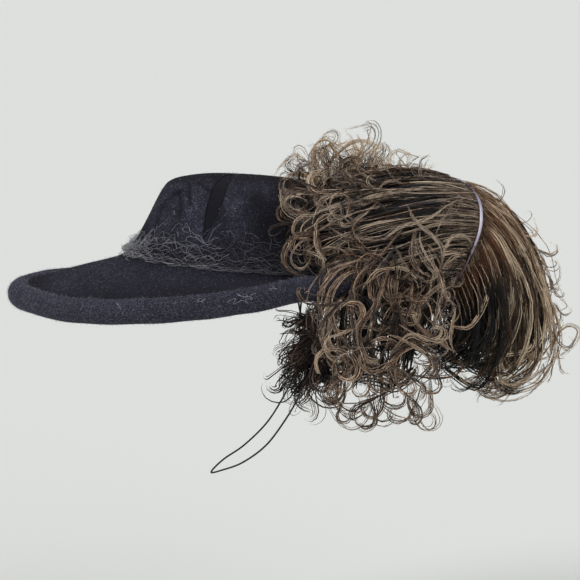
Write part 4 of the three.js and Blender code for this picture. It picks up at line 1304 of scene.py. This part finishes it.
curlLocks = [
    (5, 0.9, 0.46, 98,107,52, 100,102,43, 102,101,32, 104,105,24, 106,113,19, 108,120,17),
    (5, 0.9, 0.62, 104,112,38, 105,115,29, 107,119,19, 108,121,10, 109,119,0, 111,117,-8, 112,114,-16),
    (7, 1, 0.58, 98,96,51, 100,87,40, 101,78,30, 103,69,22, 105,65,13, 106,64,3, 108,66,-6, 109,71,-13,
     111,78,-16, 113,85,-13, 114,89,-4, 116,88,5),
    (3, 0.8, 0.82, 112,92,24, 112,86,25, 112,78,23, 112,73,18, 112,68,11),
    (5, 0.85, 0.5, 110,62,17, 110,60,6, 111,61,-6, 112,65,-18, 112,68,-28),
    (5, 0.9, 0.7, 112,98,-3, 110,105,-12, 109,111,-19, 107,119,-24, 106,125,-29, 104,131,-32),
    (5, 0.7, 0.8, 104,124,-9, 100,127,-14, 96,134,-17, 91,141,-17, 87,146,-12, 83,151,-4, 78,154,4, 74,153,12,
     70,156,19),
    (4, 0.8, 0.72, 108,131,-1, 105,129,-12, 103,128,-23, 100,130,-33),
    (2, 0.7, 0.88, 116,110,7, 116,113,-1, 116,114,-13),
    (5, 0.85, 0.55, 114,90,6, 113,94,-7, 112,99,-19, 110,107,-26, 109,115,-27, 108,125,-22),
    (5, 0.8, 0.6, 108,48,13, 107,43,4, 107,40,-7, 106,41,-18, 106,44,-29, 105,49,-38, 105,56,-45, 104,63,-48),
    (5, 0.85, 0.45, 110,57,8, 109,52,-4, 108,51,-17, 108,53,-29, 107,59,-39, 106,68,-46),
    (5, 0.85, 0.52, 114,64,6, 113,61,-7, 112,63,-22, 110,68,-35, 109,76,-44, 108,86,-49),
    (4, 0.8, 0.76, 116,94,-26, 116,88,-22, 115,81,-21, 114,74,-25, 114,69,-29),
    (4, 0.7, 0.55, 112,75,-16, 111,71,-27, 110,73,-38, 109,82,-44, 108,91,-41, 107,95,-32, 106,91,-24),
    (4, 0.7, 0.6, 114,113,-16, 112,107,-26, 111,99,-30, 109,92,-36, 108,91,-45, 106,98,-51),
    (3, 0.5, 0.36, 104,41,-58, 103,46,-70, 103,52,-79, 102,60,-85, 102,69,-82, 101,75,-72, 101,77,-63,
     100,74,-56),
    (4, 0.5, 0.34, 102,42,-53, 101,48,-65, 100,56,-71, 100,65,-74, 99,73,-69, 98,79,-60),
    (3, 0.5, 0.36, 100,46,-63, 100,53,-73, 99,61,-79, 98,69,-76, 98,75,-67),
    (3, 0.5, 0.5, 106,75,-55, 104,80,-66, 103,87,-73, 101,95,-77, 100,104,-78, 98,111,-74),
    (3, 0.45, 0.52, 106,102,-50, 105,100,-60, 104,102,-69, 103,107,-75, 102,113,-72, 101,116,-64, 100,113,-57,
     99,108,-53, 98,102,-58),
    (2, 0.45, 0.48, 100,106,-71, 99,110,-81, 98,115,-85, 98,120,-80, 97,117,-71, 96,111,-67),
    (4, 0.6, 0.62, 110,63,-34, 109,67,-46, 108,73,-55, 106,81,-58, 105,91,-57, 104,99,-51),
    (3, 0.5, 0.5, 108,95,-30, 107,88,-38, 107,87,-47, 106,92,-54, 106,100,-54, 105,106,-47, 105,104,-38,
     104,98,-34),
    (3, 0.5, 0.56, 106,82,-31, 105,78,-40, 104,80,-50, 104,88,-54, 103,95,-49, 102,95,-39),
    (4, 0.7, 0.4, 112,101,13, 112,94,7, 111,92,-3, 111,96,-11, 111,103,-12, 110,107,-6, 110,104,1),
    (4, 0.7, 0.56, 112,112,16, 112,107,9, 111,101,1, 110,97,-10, 110,95,-21),
    (4, 0.8, 0.5, 110,81,29, 110,74,17, 111,73,5, 112,77,-4, 112,85,-8),
    (6, 0.85, 0.5, 104,64,28, 109,53,26, 114,45,18, 115,40,7, 113,41,-6, 110,45,-20),
    (6, 0.85, 0.6, 106,71,23, 111,58,21, 114,49,11, 114,47,-2, 112,52,-17, 110,60,-27),
    (5, 0.8, 0.42, 108,60,16, 112,48,11, 112,39,2, 109,35,-10, 106,37,-24),
    (6, 0.85, 0.62, 103,77,30, 108,63,29, 113,50,24, 115,42,14, 114,37,4),
    (4, 0.7, 0.5, 104,52,31, 110,43,25, 113,39,18, 114,40,10, 114,45,8),
    (6, 0.85, 0.55, 112,66,4, 114,56,3, 114,47,-5, 111,44,-16, 108,48,-29, 106,57,-35),
    (5, 0.8, 0.68, 114,56,6, 115,49,2, 114,43,-5, 111,41,-15, 108,41,-26),
    (3, 0.6, 0.3, 108,44,10, 109,37,4, 108,32,-4, 105,31,-15, 102,35,-23),
]
fallLocks = [
    (6, 0.75, 0.66, 34,193,3, 34,202,-16, 34,206,-33, 35,205,-45, 35,201,-57, 35,193,-67, 35,180,-72,
     36,168,-74, 36,155,-71, 36,144,-66),
    (5, 0.8, 0.62, 56,172,15, 56,174,-4, 55,171,-24, 54,167,-39, 54,165,-53, 54,167,-61, 53,174,-64,
     52,183,-60, 52,187,-53),
    (5, 0.9, 0.7, 50,168,22, 48,176,2, 45,184,-17, 42,194,-35, 40,203,-49),
    (5, 0.8, 0.62, 54,173,-4, 53,177,-24, 51,180,-36, 50,185,-44, 49,192,-47, 47,200,-45, 46,204,-39),
    (6, 0.8, 0.7, 38,203,-48, 38,205,-36, 37,210,-28, 36,216,-25, 36,222,-28, 36,221,-35, 35,215,-43,
     34,208,-48, 34,203,-49),
    (3, 0.4, 0.55, 44,190,-58, 44,181,-67, 43,170,-70, 42,160,-67, 42,150,-61),
    (4, 0.4, 0.5, 38,201,-55, 38,195,-66, 39,184,-75, 39,170,-78, 40,156,-74, 40,145,-67),
    (2, 0.45, 0.4, 36,157,58, 34,164,61, 33,168,66, 32,168,72, 30,164,76),
    (2, 0.4, 0.5, 34,172,55, 33,182,47, 32,188,42, 32,191,37, 31,192,43, 30,189,53),
    (3, 0.45, 0.42, 32,195,28, 31,201,12, 30,205,2, 30,209,8, 29,209,15, 28,207,19),
    (2, 0.4, 0.45, 32,199,12, 31,206,-2, 30,214,-12, 29,207,-16, 28,203,-17),
    (3, 0.5, 0.48, 34,163,62, 33,180,45, 32,193,28, 31,203,4, 30,212,-11),
    (5, 0.8, 0.62, 60,153,50, 59,164,34, 58,173,14, 57,179,-7, 56,183,-29),
    (5, 0.8, 0.68, 52,153,61, 51,170,40, 50,182,19, 49,189,-5, 48,194,-30),
    (3, 0.6, 0.6, 66,146,29, 65,155,18, 64,161,3, 63,163,-14, 62,161,-31),
    (4, 0.5, 0.16, 68,146,-2, 69,142,-17, 70,135,-31, 71,127,-41, 72,120,-47, 73,117,-41, 74,121,-35),
    (4, 0.45, 0.14, 66,154,-17, 67,149,-34, 68,141,-47, 70,131,-53, 71,126,-48, 72,130,-41),
    (4, 0.45, 0.22, 62,159,-31, 62,155,-48, 61,147,-61, 61,138,-66, 60,131,-59, 60,134,-51),
    (1, 0.4, 0.62, 80,144,34, 90,154,12, 90,155,8),
    (1, 0.4, 0.72, 80,142,29, 90,151,9, 90,154,-4),
    (1, 0.4, 0.55, 81,140,25, 90,148,5, 90,150,-2),
    (1, 0.4, 0.7, 81,138,21, 90,146,3, 91,148,-12),
    (1, 0.4, 0.6, 81,136,18, 90,143,0, 90,144,-5),
    (1, 0.4, 0.74, 82,134,14, 90,140,-3, 90,142,-13),
    (1, 0.4, 0.52, 82,132,10, 90,138,-6, 90,139,-13),
    (1, 0.4, 0.66, 82,130,6, 90,135,-9, 91,136,-19),
    (1, 0.4, 0.6, 82,128,2, 90,132,-11, 90,132,-16),
    (6, 0.75, 0.78, 60,158,61, 60,172,41, 56,186,17, 50,197,-9, 44,202,-36, 42,199,-50, 44,185,-53),
    (6, 0.8, 0.72, 66,155,53, 66,167,31, 62,178,7, 58,183,-17, 54,184,-38, 50,176,-54, 50,162,-59,
     52,150,-53),
    (5, 0.75, 0.8, 54,165,55, 52,180,35, 48,193,11, 44,200,-10, 40,206,-31, 40,206,-46),
    (6, 0.8, 0.66, 70,154,43, 70,164,20, 66,172,-4, 62,171,-25, 60,167,-40, 58,171,-49),
    (5, 0.7, 0.74, 66,160,42, 62,174,19, 56,188,-8, 50,192,-35, 48,185,-53, 48,170,-62, 50,156,-62),
    (5, 0.7, 0.7, 50,177,39, 46,191,19, 44,199,-1, 40,208,-25, 38,209,-39, 38,203,-52, 42,188,-60,
     44,174,-66),
    (4, 0.7, 0.6, 72,158,29, 72,165,9, 68,169,-12, 66,165,-33, 62,167,-51, 58,175,-57),
    (5, 0.6, 0.52, 42,200,-54, 44,185,-63, 46,168,-67, 50,153,-65, 56,141,-58, 60,136,-49),
    (4, 0.6, 0.46, 44,191,-60, 46,174,-69, 48,159,-70, 54,145,-65, 60,137,-56, 62,137,-48),
]
tuftLocks = [
    (4, 0.42, 0.5, 14,39,72, 10,34,82, 10,29,89, 10,23,92, 10,15,86, 10,9,78),
    (5, 0.42, 0.62, 14,43,72, 12,34,77, 12,25,79, 12,16,77),
    (4, 0.42, 0.58, 14,41,72, 8,29,82, 8,21,86, 8,13,84),
    (5, 0.42, 0.6, 14,43,72, 6,38,84, 6,36,94, 6,41,102, 6,49,101, 6,54,91),
    (4, 0.42, 0.42, 14,48,72, 3,47,85, 3,45,94, 3,49,100, 3,56,97),
    (7, 0.5, 0.7, 14,43,73, 0,48,86, 0,58,96, 0,67,101, 0,78,100, 0,82,97),
    (7, 0.5, 0.66, 14,53,73, 2,60,83, 2,68,91, 2,71,99, 2,67,106),
    (7, 0.5, 0.76, 14,43,74, 9,53,77, 9,62,82, 9,70,89, 9,72,97),
    (4, 0.42, 0.5, 14,50,75, 5,44,86, 5,41,93, 5,46,99, 5,53,94, 5,56,86),
    (7, 0.5, 0.7, 14,60,74, -2,53,83, -2,51,90, -2,54,98, -2,63,101),
    (4, 0.42, 0.5, 14,67,75, 4,65,86, 4,60,94, 4,56,99, 4,54,104),
    (3, 0.4, 0.36, 14,50,75, 12,55,84, 12,60,91, 12,72,94, 12,81,92, 12,87,85, 12,95,77),
    (2, 0.4, 0.5, 14,70,75, 0,74,89, 0,76,103, 0,78,114, 0,72,113, 0,65,111, 0,59,109),
    (3, 0.34, 0.72, 14,68,89, -3,67,98, -3,63,105, -3,59,109),
    (3, 0.42, 0.76, 14,95,76, 10,90,85, 10,85,91, 10,80,95, 10,75,97),
    (3, 0.42, 0.56, 14,87,76, 2,90,88, 2,95,94, 2,102,92, 2,103,85, 2,96,78),
    (2, 0.4, 0.36, 14,97,77, -2,104,84, -2,109,89, -2,112,90, -2,106,92, -2,99,95),
    (5, 0.46, 0.74, 14,102,75, -4,110,79, -4,117,81, -4,123,84),
    (5, 0.46, 0.7, 14,76,75, 0,76,84, 0,78,93, 0,83,99, 0,84,102),
]
# loops low in the front mass: x, y, z of the middle, radius, start and sweep in degrees, barbs and tone
lowRings = [
    (100,60,-66,9.5,150,260,5,0.5), (99,75,-69,9,20,-270,5,0.6), (98,91,-65,8.5,160,280,5,0.45),
    (96,107,-69,9.5,10,-300,5,0.6), (102,99,-56,6.5,170,300,4,0.66), (99,50,-61,8.5,130,230,5,0.4),
    (95,84,-78,7,160,270,4,0.5), (105,67,-55,7,30,-280,4,0.62), (94,115,-56,6.5,20,-250,4,0.5),
    (95,58,-77,6.5,150,230,4,0.42), (106,81,-54,7.5,160,290,4,0.5), (96,94,-75,8,0,-280,5,0.55),
    (94,70,-79,7,20,-240,4,0.36), (92,112,-80,7,160,290,4,0.5), (101,42,-51,8,140,240,5,0.34),
    (104,54,-51,8,30,-260,5,0.5),
]

# what a plume has where its own table doesn't say otherwise
plumeStandard = {
    "scatter": 4, "rootScatter": 0.5, "wave": 2.0, "contrary": 0.2, "lean": 0.45, "toss": 0.0,
    "tighten": 0.45, "pitch": 3.0, "toneSpread": 0.18, "spacing": 1.25, "loose": 0.8, "rootShare": 0.35,
    "stray": 0.12, "inward": (-1, 0, 0), "backing": (0, 1, 0, 1, 0), "flyaways": 0, "tangle": 0,
    "tangleRows": (0.8, 6), "rings": [], "drawn": [], "hairLength": 2.4, "hairThickness": 0.12,
}
# each row: its end curl's radius, turn in degrees and tone, then x,y,z of points from root to tip;
# backing: count, half width, first row's share, reach and tone, which is low: painted shade
plumes = {
    "sweepComb": {
        "seed": 21, "locks": 106, "barbs": 5.6, "steps": 11, "curlSteps": 12, "width": 0.46, "depth": 12,
        "wave": 1.8, "lean": 0.5, "reach": (0.5, 1.06), "spacing": 1.35, "loose": 0.7, "rootShare": 0.6,
        "toneSpread": 0.3, "flyaways": 26, "tangle": 24, "hairSpacing": 1.6,
        "backing": (100, 1.7, 0.2, 0.9, 0.1), "slot": "plume_tan", "nodes": ["plume_sweep"],
        "finish": "comb barbs", "drawn": combLocks,
        "rows": [
            (9, -230, 0.48, 33,129,79, 36,96,85, 40,61,82, 46,39,72),
            (10, -280, 0.5, 44,139,75, 60,102,79, 62,64,72, 58,28,62),
            (9.5, -250, 0.48, 54,145,67, 74,108,70, 77,67,62, 68,29,48),
            (11, 230, 0.5, 61,149,55, 84,114,58, 89,74,50, 80,36,38),
            (11, 240, 0.48, 66,150,44, 91,117,44, 97,77,36, 88,42,24),
            (10, 220, 0.4, 70,146,32, 95,115,30, 101,80,20, 95,52,6),
            (9.5, 200, 0.4, 75,138,18, 97,112,14, 104,90,0, 100,72,-14),
        ],
    },
    "sweepFall": {
        "seed": 22, "locks": 112, "barbs": 5.4, "steps": 17, "curlSteps": 6, "width": 0.5, "depth": 15,
        "scatter": 5.2, "wave": 3.8, "contrary": 0.1, "lean": 0.5, "reach": (0.52, 1.0), "spacing": 1.2,
        "rootShare": 0.36, "toneSpread": 0.44, "flyaways": 40, "backing": (60, 1.7, 0.1, 0.7, 0.3),
        "hairSpacing": 1.5, "slot": "plume_tan", "nodes": [], "finish": "fall barbs", "drawn": fallLocks,
        "rows": [
            (10, -100, 0.92, 38,139,76, 34,169,60, 31,198,19, 30,209,-30, 33,202,-58, 36,180,-71),
            (10, -110, 0.86, 50,147,69, 50,172,51, 48,194,12, 46,200,-38, 44,190,-61, 44,168,-71),
            (10, -110, 0.7, 58,149,58, 64,169,40, 64,186,4, 60,188,-40, 56,178,-61, 52,156,-69),
            (9, -120, 0.42, 64,150,47, 74,163,29, 76,175,-5, 70,172,-42, 64,160,-59, 58,142,-65),
            # these inner rows' tones below zero are partly dark barbs and partly painted shade in the fall's
            # hollow
            (7, -150, -0.2, 70,147,36, 80,155,19, 82,160,-13, 76,157,-40, 70,146,-57, 64,132,-61),
            (6, 190, -0.32, 75,141,25, 84,146,8, 86,148,-19, 80,145,-40, 74,134,-55, 70,122,-58),
            (6, -190, -0.32, 77,134,13, 84,135,-1, 86,135,-24, 82,132,-40, 78,122,-53, 74,112,-56),
        ],
    },
    "frontCurls": {
        "seed": 23, "locks": 104, "barbs": 5.2, "steps": 9, "curlSteps": 14, "width": 0.52, "depth": 22,
        "scatter": 8, "rootScatter": 5, "wave": 5, "toneSpread": 0.34, "backing": (80, 1.8, 0.05, 1.0, 0.0),
        "contrary": 0.42, "hairSpacing": 1.4, "lean": 0.6, "reach": (0.2, 1.02), "pitch": 5.0, "spacing": 1.2,
        "toss": 0.6, "tossShare": 0.8, "slot": "plume_brown", "nodes": ["plume_curls"],
        "finish": "curl barbs", "drawn": curlLocks, "rings": lowRings, "tangle": 20, "tangleRows": (0.7, 3.6),
        "rows": [
            (8.5, 240, 0.36, 84,70,22, 104,46,12, 108,34,-10, 104,37,-32),
            (10.5, -250, 0.4, 86,86,26, 110,63,13, 116,56,-18, 105,58,-54),
            (10.5, 270, 0.4, 88,98,28, 114,80,14, 118,73,-22, 105,73,-62),
            (8.5, -280, 0.42, 88,110,28, 116,97,14, 117,92,-22, 104,91,-64),
            (9.5, 270, 0.42, 86,118,26, 114,109,13, 114,103,-21, 100,98,-58),
            (8.5, -240, 0.46, 82,126,24, 108,119,11, 108,110,-12, 96,102,-34),
            (8, 230, 0.44, 78,132,22, 98,128,12, 98,120,-2, 90,110,-18),
        ],
    },
    "topTuft": {
        "seed": 24, "locks": 90, "barbs": 4.0, "steps": 7, "curlSteps": 13, "width": 0.24, "depth": 10,
        "scatter": 8, "rootScatter": 4, "wave": 3.5, "contrary": 0.5, "lean": 0.8, "reach": (0.15, 1.0),
        "pitch": 4.0, "spacing": 3.0, "hairSpacing": 0.58, "hairLength": 3.0, "hairThickness": 0.09,
        "toneSpread": 0.26, "tighten": 0.2, "stray": 0.3, "flyaways": 20, "slot": "plume_light",
        "nodes": ["plume_top"], "finish": "light barbs", "drawn": tuftLocks,
        "rows": [
            (9, -150, 0.4, 20,44,66, 19,30,74, 18,22,78),
            (7, 180, 0.42, 14,54,69, 13,42,80, 11,36,87),
            (7, -190, 0.44, 9,64,70, 7,60,84, 5,58,91),
            (7, 170, 0.42, 4,72,73, 1,73,86, -1,74,88),
            (6, 160, 0.38, -2,84,74, -4,87,79, -5,90,81),
            (5, 150, 0.38, -4,98,71, -6,104,74, -8,108,75),
        ],
    },
    "underTuft": {
        "seed": 25, "locks": 84, "barbs": 4.4, "steps": 11, "curlSteps": 8, "width": 0.42, "depth": 9,
        "toneSpread": 0.34, "scatter": 5, "rootScatter": 2.0, "wave": 2.4, "contrary": 0.4, "lean": 0.5,
        "reach": (0.5, 1.12), "spacing": 2.2, "hairSpacing": 5.0, "slot": "plume_dark",
        "nodes": ["plume_under"], "finish": "dark barbs",
        "rows": [
            (5, -120, 0.42, 98,47,-18, 97,31,-10, 93,21,-12),
            (5, 110, 0.4, 98,46,-22, 95,28,-21, 92,15,-29),
            (5, -130, 0.44, 97,46,-25, 93,27,-33, 90,12,-46),
            (6, 150, 0.4, 96,46,-28, 92,30,-44, 89,19,-58),
            (7, 190, 0.42, 95,47,-30, 92,36,-50, 90,30,-64),
            (8, -190, 0.42, 96,49,-32, 94,48,-52, 92,51,-67),
        ],
    },
    "farPlume": {
        "seed": 26, "locks": 88, "barbs": 6.5, "steps": 10, "curlSteps": 9, "width": 0.48, "depth": 6,
        "scatter": 5.5, "wave": 3.8, "contrary": 0.4, "lean": 0.6, "inward": (0.4, -0.6, 0), "spacing": 1.4,
        "reach": (0.55, 1.04), "toneSpread": 0.32, "flyaways": 30, "backing": (50, 1.7, 0.1, 0.8, 0.2),
        "hairSpacing": 3.2, "slot": "plume_dark", "nodes": ["plume_far"], "finish": "dark barbs",
        "rows": [
            (10, -200, 0.5, 15,70,72, -8,84,66, -32,100,46, -54,127,-12),
            (11, 190, 0.5, 12,92,74, -2,110,66, -18,128,46, -34,146,-36),
            (11, 190, 0.5, 16,120,73, 10,138,62, 2,156,38, -12,164,-48),
            (11, -180, 0.5, 28,142,62, 24,160,46, 20,173,20, 14,180,-52),
            (10, 180, 0.3, 40,146,50, 40,160,30, 40,168,4, 38,168,-54),
        ],
    },
}

for name, plume in plumes.items():
    plume.update({key: setting for key, setting in plumeStandard.items() if key not in plume})
    plume["inward"] = np.array(plume["inward"], float)
    barbLines, rows = Lines(), rowPoints(plume)
    for lay in (growLocks, layDrawn, layRings, layTangle, layFlyaways, layBacking):
        lay(barbLines, plume, rows)
    piece = barbLines.grow(name, barbMaterials[plume["finish"]], hairAngle=barbAngle, seed=plume["seed"],
                           **{key: plume[key] for key in ("hairSpacing", "hairLength", "hairThickness")})
    seat(piece, plume["slot"], *plume["nodes"])


# the pale quill between comb and fall, with fine barbs at their roots on both sides of it

quill = {
    "points": [(31, 125, 81.5), (40, 138.9, 76), (48, 144.2, 72.6), (53, 147.3, 68.6), (58, 149.6, 63.3),
               (62, 150.2, 58.2), (66, 149.9, 51.8), (70, 148.6, 45.4), (73, 146, 38.2), (77, 142.1, 29.8),
               (79.5, 137.6, 20.5), (81, 132.5, 9.1)],
    "widths": [0.4, 0.6, 0.8, 1.0, 1.15, 1.2, 1.2, 1.1, 0.95, 0.75, 0.5, 0.35],
    "length": 105.0,
    # share of the length and colour
    "colours": [(0.0, (40, 32, 42)), (0.3, (66, 54, 74)), (0.4, (150, 140, 164)), (0.52, (206, 200, 216)),
                (0.68, (176, 164, 184)), (0.82, (104, 86, 96)), (1.0, (50, 38, 44))],
    # name, plume, reach along it, offset, tone and seed
    "roots": [("combRoots", "sweepComb", 0.8, 2.4, 0.5, 31), ("fallRoots", "sweepFall", 0.5, 2.0, 0.32, 32)],
    "rootBarbs": 190,
}


def makeQuill(setup):
    material, tree, shader = newMaterial("quill horn", {
        "Roughness": 0.32, "Specular IOR Level": 0.5, "Coat Weight": 0.2,
    })
    place = newNode(tree, "ShaderNodeSeparateXYZ", {"Vector": value(tree, "ShaderNodeUVMap", {},
                                                                    uv_map="wrap")})
    share = ranged(tree, place.outputs["Y"], 0.0, setup["length"])
    ramp = newNode(tree, "ShaderNodeValToRGB", {"Fac": share})
    stops = ramp.color_ramp.elements
    for number, (place, tint) in enumerate(setup["colours"]):
        stop = stops[0] if number == 0 else stops[-1] if place == 1 else stops.new(place)
        stop.color = colour(*tint)
    plug(shader, {"Base Color": ramp.outputs["Color"]})
    fine = np.linspace(0, len(setup["points"]) - 1, 70)
    way = through(setup["points"], fine) + np.array([1.5, 0.3, 0])
    widths = np.interp(fine, np.arange(len(setup["widths"])), setup["widths"])
    seat(newObject("quill", finishMesh(tubeMesh("quill", way, widths, 10, flat=0.8), material)), "quill")


def makeRoots(setup, name, plumeName, reach, offset, tone, seed):
    rng = np.random.default_rng(seed)
    plume, count = plumes[plumeName], setup["rootBarbs"]
    horn = through(setup["points"], np.linspace(0.6, len(setup["points"]) - 1.2, count))
    rows = rowPoints(plume)
    widths = np.array([0.7, 1, 1, 1, 0.9, 0.8, 0.6, 0.4, 0.15])
    ease = np.linspace(1, 0, len(widths))[:, None] ** 1.5
    lines = Lines()
    for k in range(count):
        row = through(rows, np.clip(k / (count - 1) + rng.normal(0, 0.012), 0, 1) * (len(rows) - 1))[0]
        way = through(row, np.linspace(0.04, reach * rng.uniform(0.4, 1.1), len(widths))) + xAxis * offset
        way = (way + (horn[k] - way[0]) * ease + rng.normal(0, 0.3, 3) * (1 - ease)
               + rng.normal(0, 0.12, way.shape))
        lines.add(way, rng.uniform(0.22, 0.36) * widths, tone + rng.normal(0, 0.16))
    piece = lines.grow(name, barbMaterials[plume["finish"]], hairAngle=barbAngle, hairLength=1.4, seed=seed)
    seat(piece, plume["slot"])


makeQuill(quill)
for row in quill["roots"]:
    makeRoots(quill, *row)
print("plumes done")


# floor and light

studio = {
    "floorHeight": -300,
    "floorReach": 60000,
    "floor": (0.738, 0.749, 0.733, 1),
    "surround": (0.716, 0.731, 0.712, 1),
    "ambient": 0.36,
    # direction the light comes from, strength and softness in degrees
    "suns": [((0.6, -1.0, 1.0), 1.9, 30), ((1.0, 0.7, 0.8), 0.75, 45), ((-0.6, 0.6, 1.2), 0.8, 40)],
}


def makeStudio(setup):
    corners = [(x * setup["floorReach"], y * setup["floorReach"], setup["floorHeight"])
               for x, y in ((-1, -1), (1, -1), (1, 1), (-1, 1))]
    material, tree, shader = newMaterial("pale floor", {"Roughness": 0.95, "Specular IOR Level": 0.0})
    darker = [c * 0.99 for c in setup["floor"][:3]] + [1]
    plug(shader, {"Base Color": mixed(tree, noise(tree, objectPlace(tree), 1.5), darker, setup["floor"])})
    mesh = newMesh("floor", corners, [(0, 1, 2, 3)])
    mesh.materials.append(material)
    newObject("floor", mesh)
    world = bpy.data.worlds.new("studio")
    world.use_nodes = True
    tree = world.node_tree
    lit = tree.nodes["Background"]
    plug(lit, {"Color": setup["surround"], "Strength": setup["ambient"]})
    seen = value(tree, "ShaderNodeBackground", {"Color": setup["surround"], "Strength": 1.0})
    rays = newNode(tree, "ShaderNodeLightPath", {})
    both = value(tree, "ShaderNodeMixShader", {0: rays.outputs["Is Camera Ray"], 1: lit.outputs[0], 2: seen})
    plug(tree.nodes["World Output"], {"Surface": both})
    scene.world = world
    for number, (source, power, softness) in enumerate(setup["suns"]):
        data = bpy.data.lights.new("sun%d" % number, "SUN")
        data.energy, data.angle = power, math.radians(softness)
        lamp = newObject("sun%d" % number, data)
        lamp.rotation_mode = "QUATERNION"
        lamp.rotation_quaternion = Vector(source).to_track_quat("Z", "Y")
    scene.view_settings.view_transform = "Standard"


makeStudio(studio)
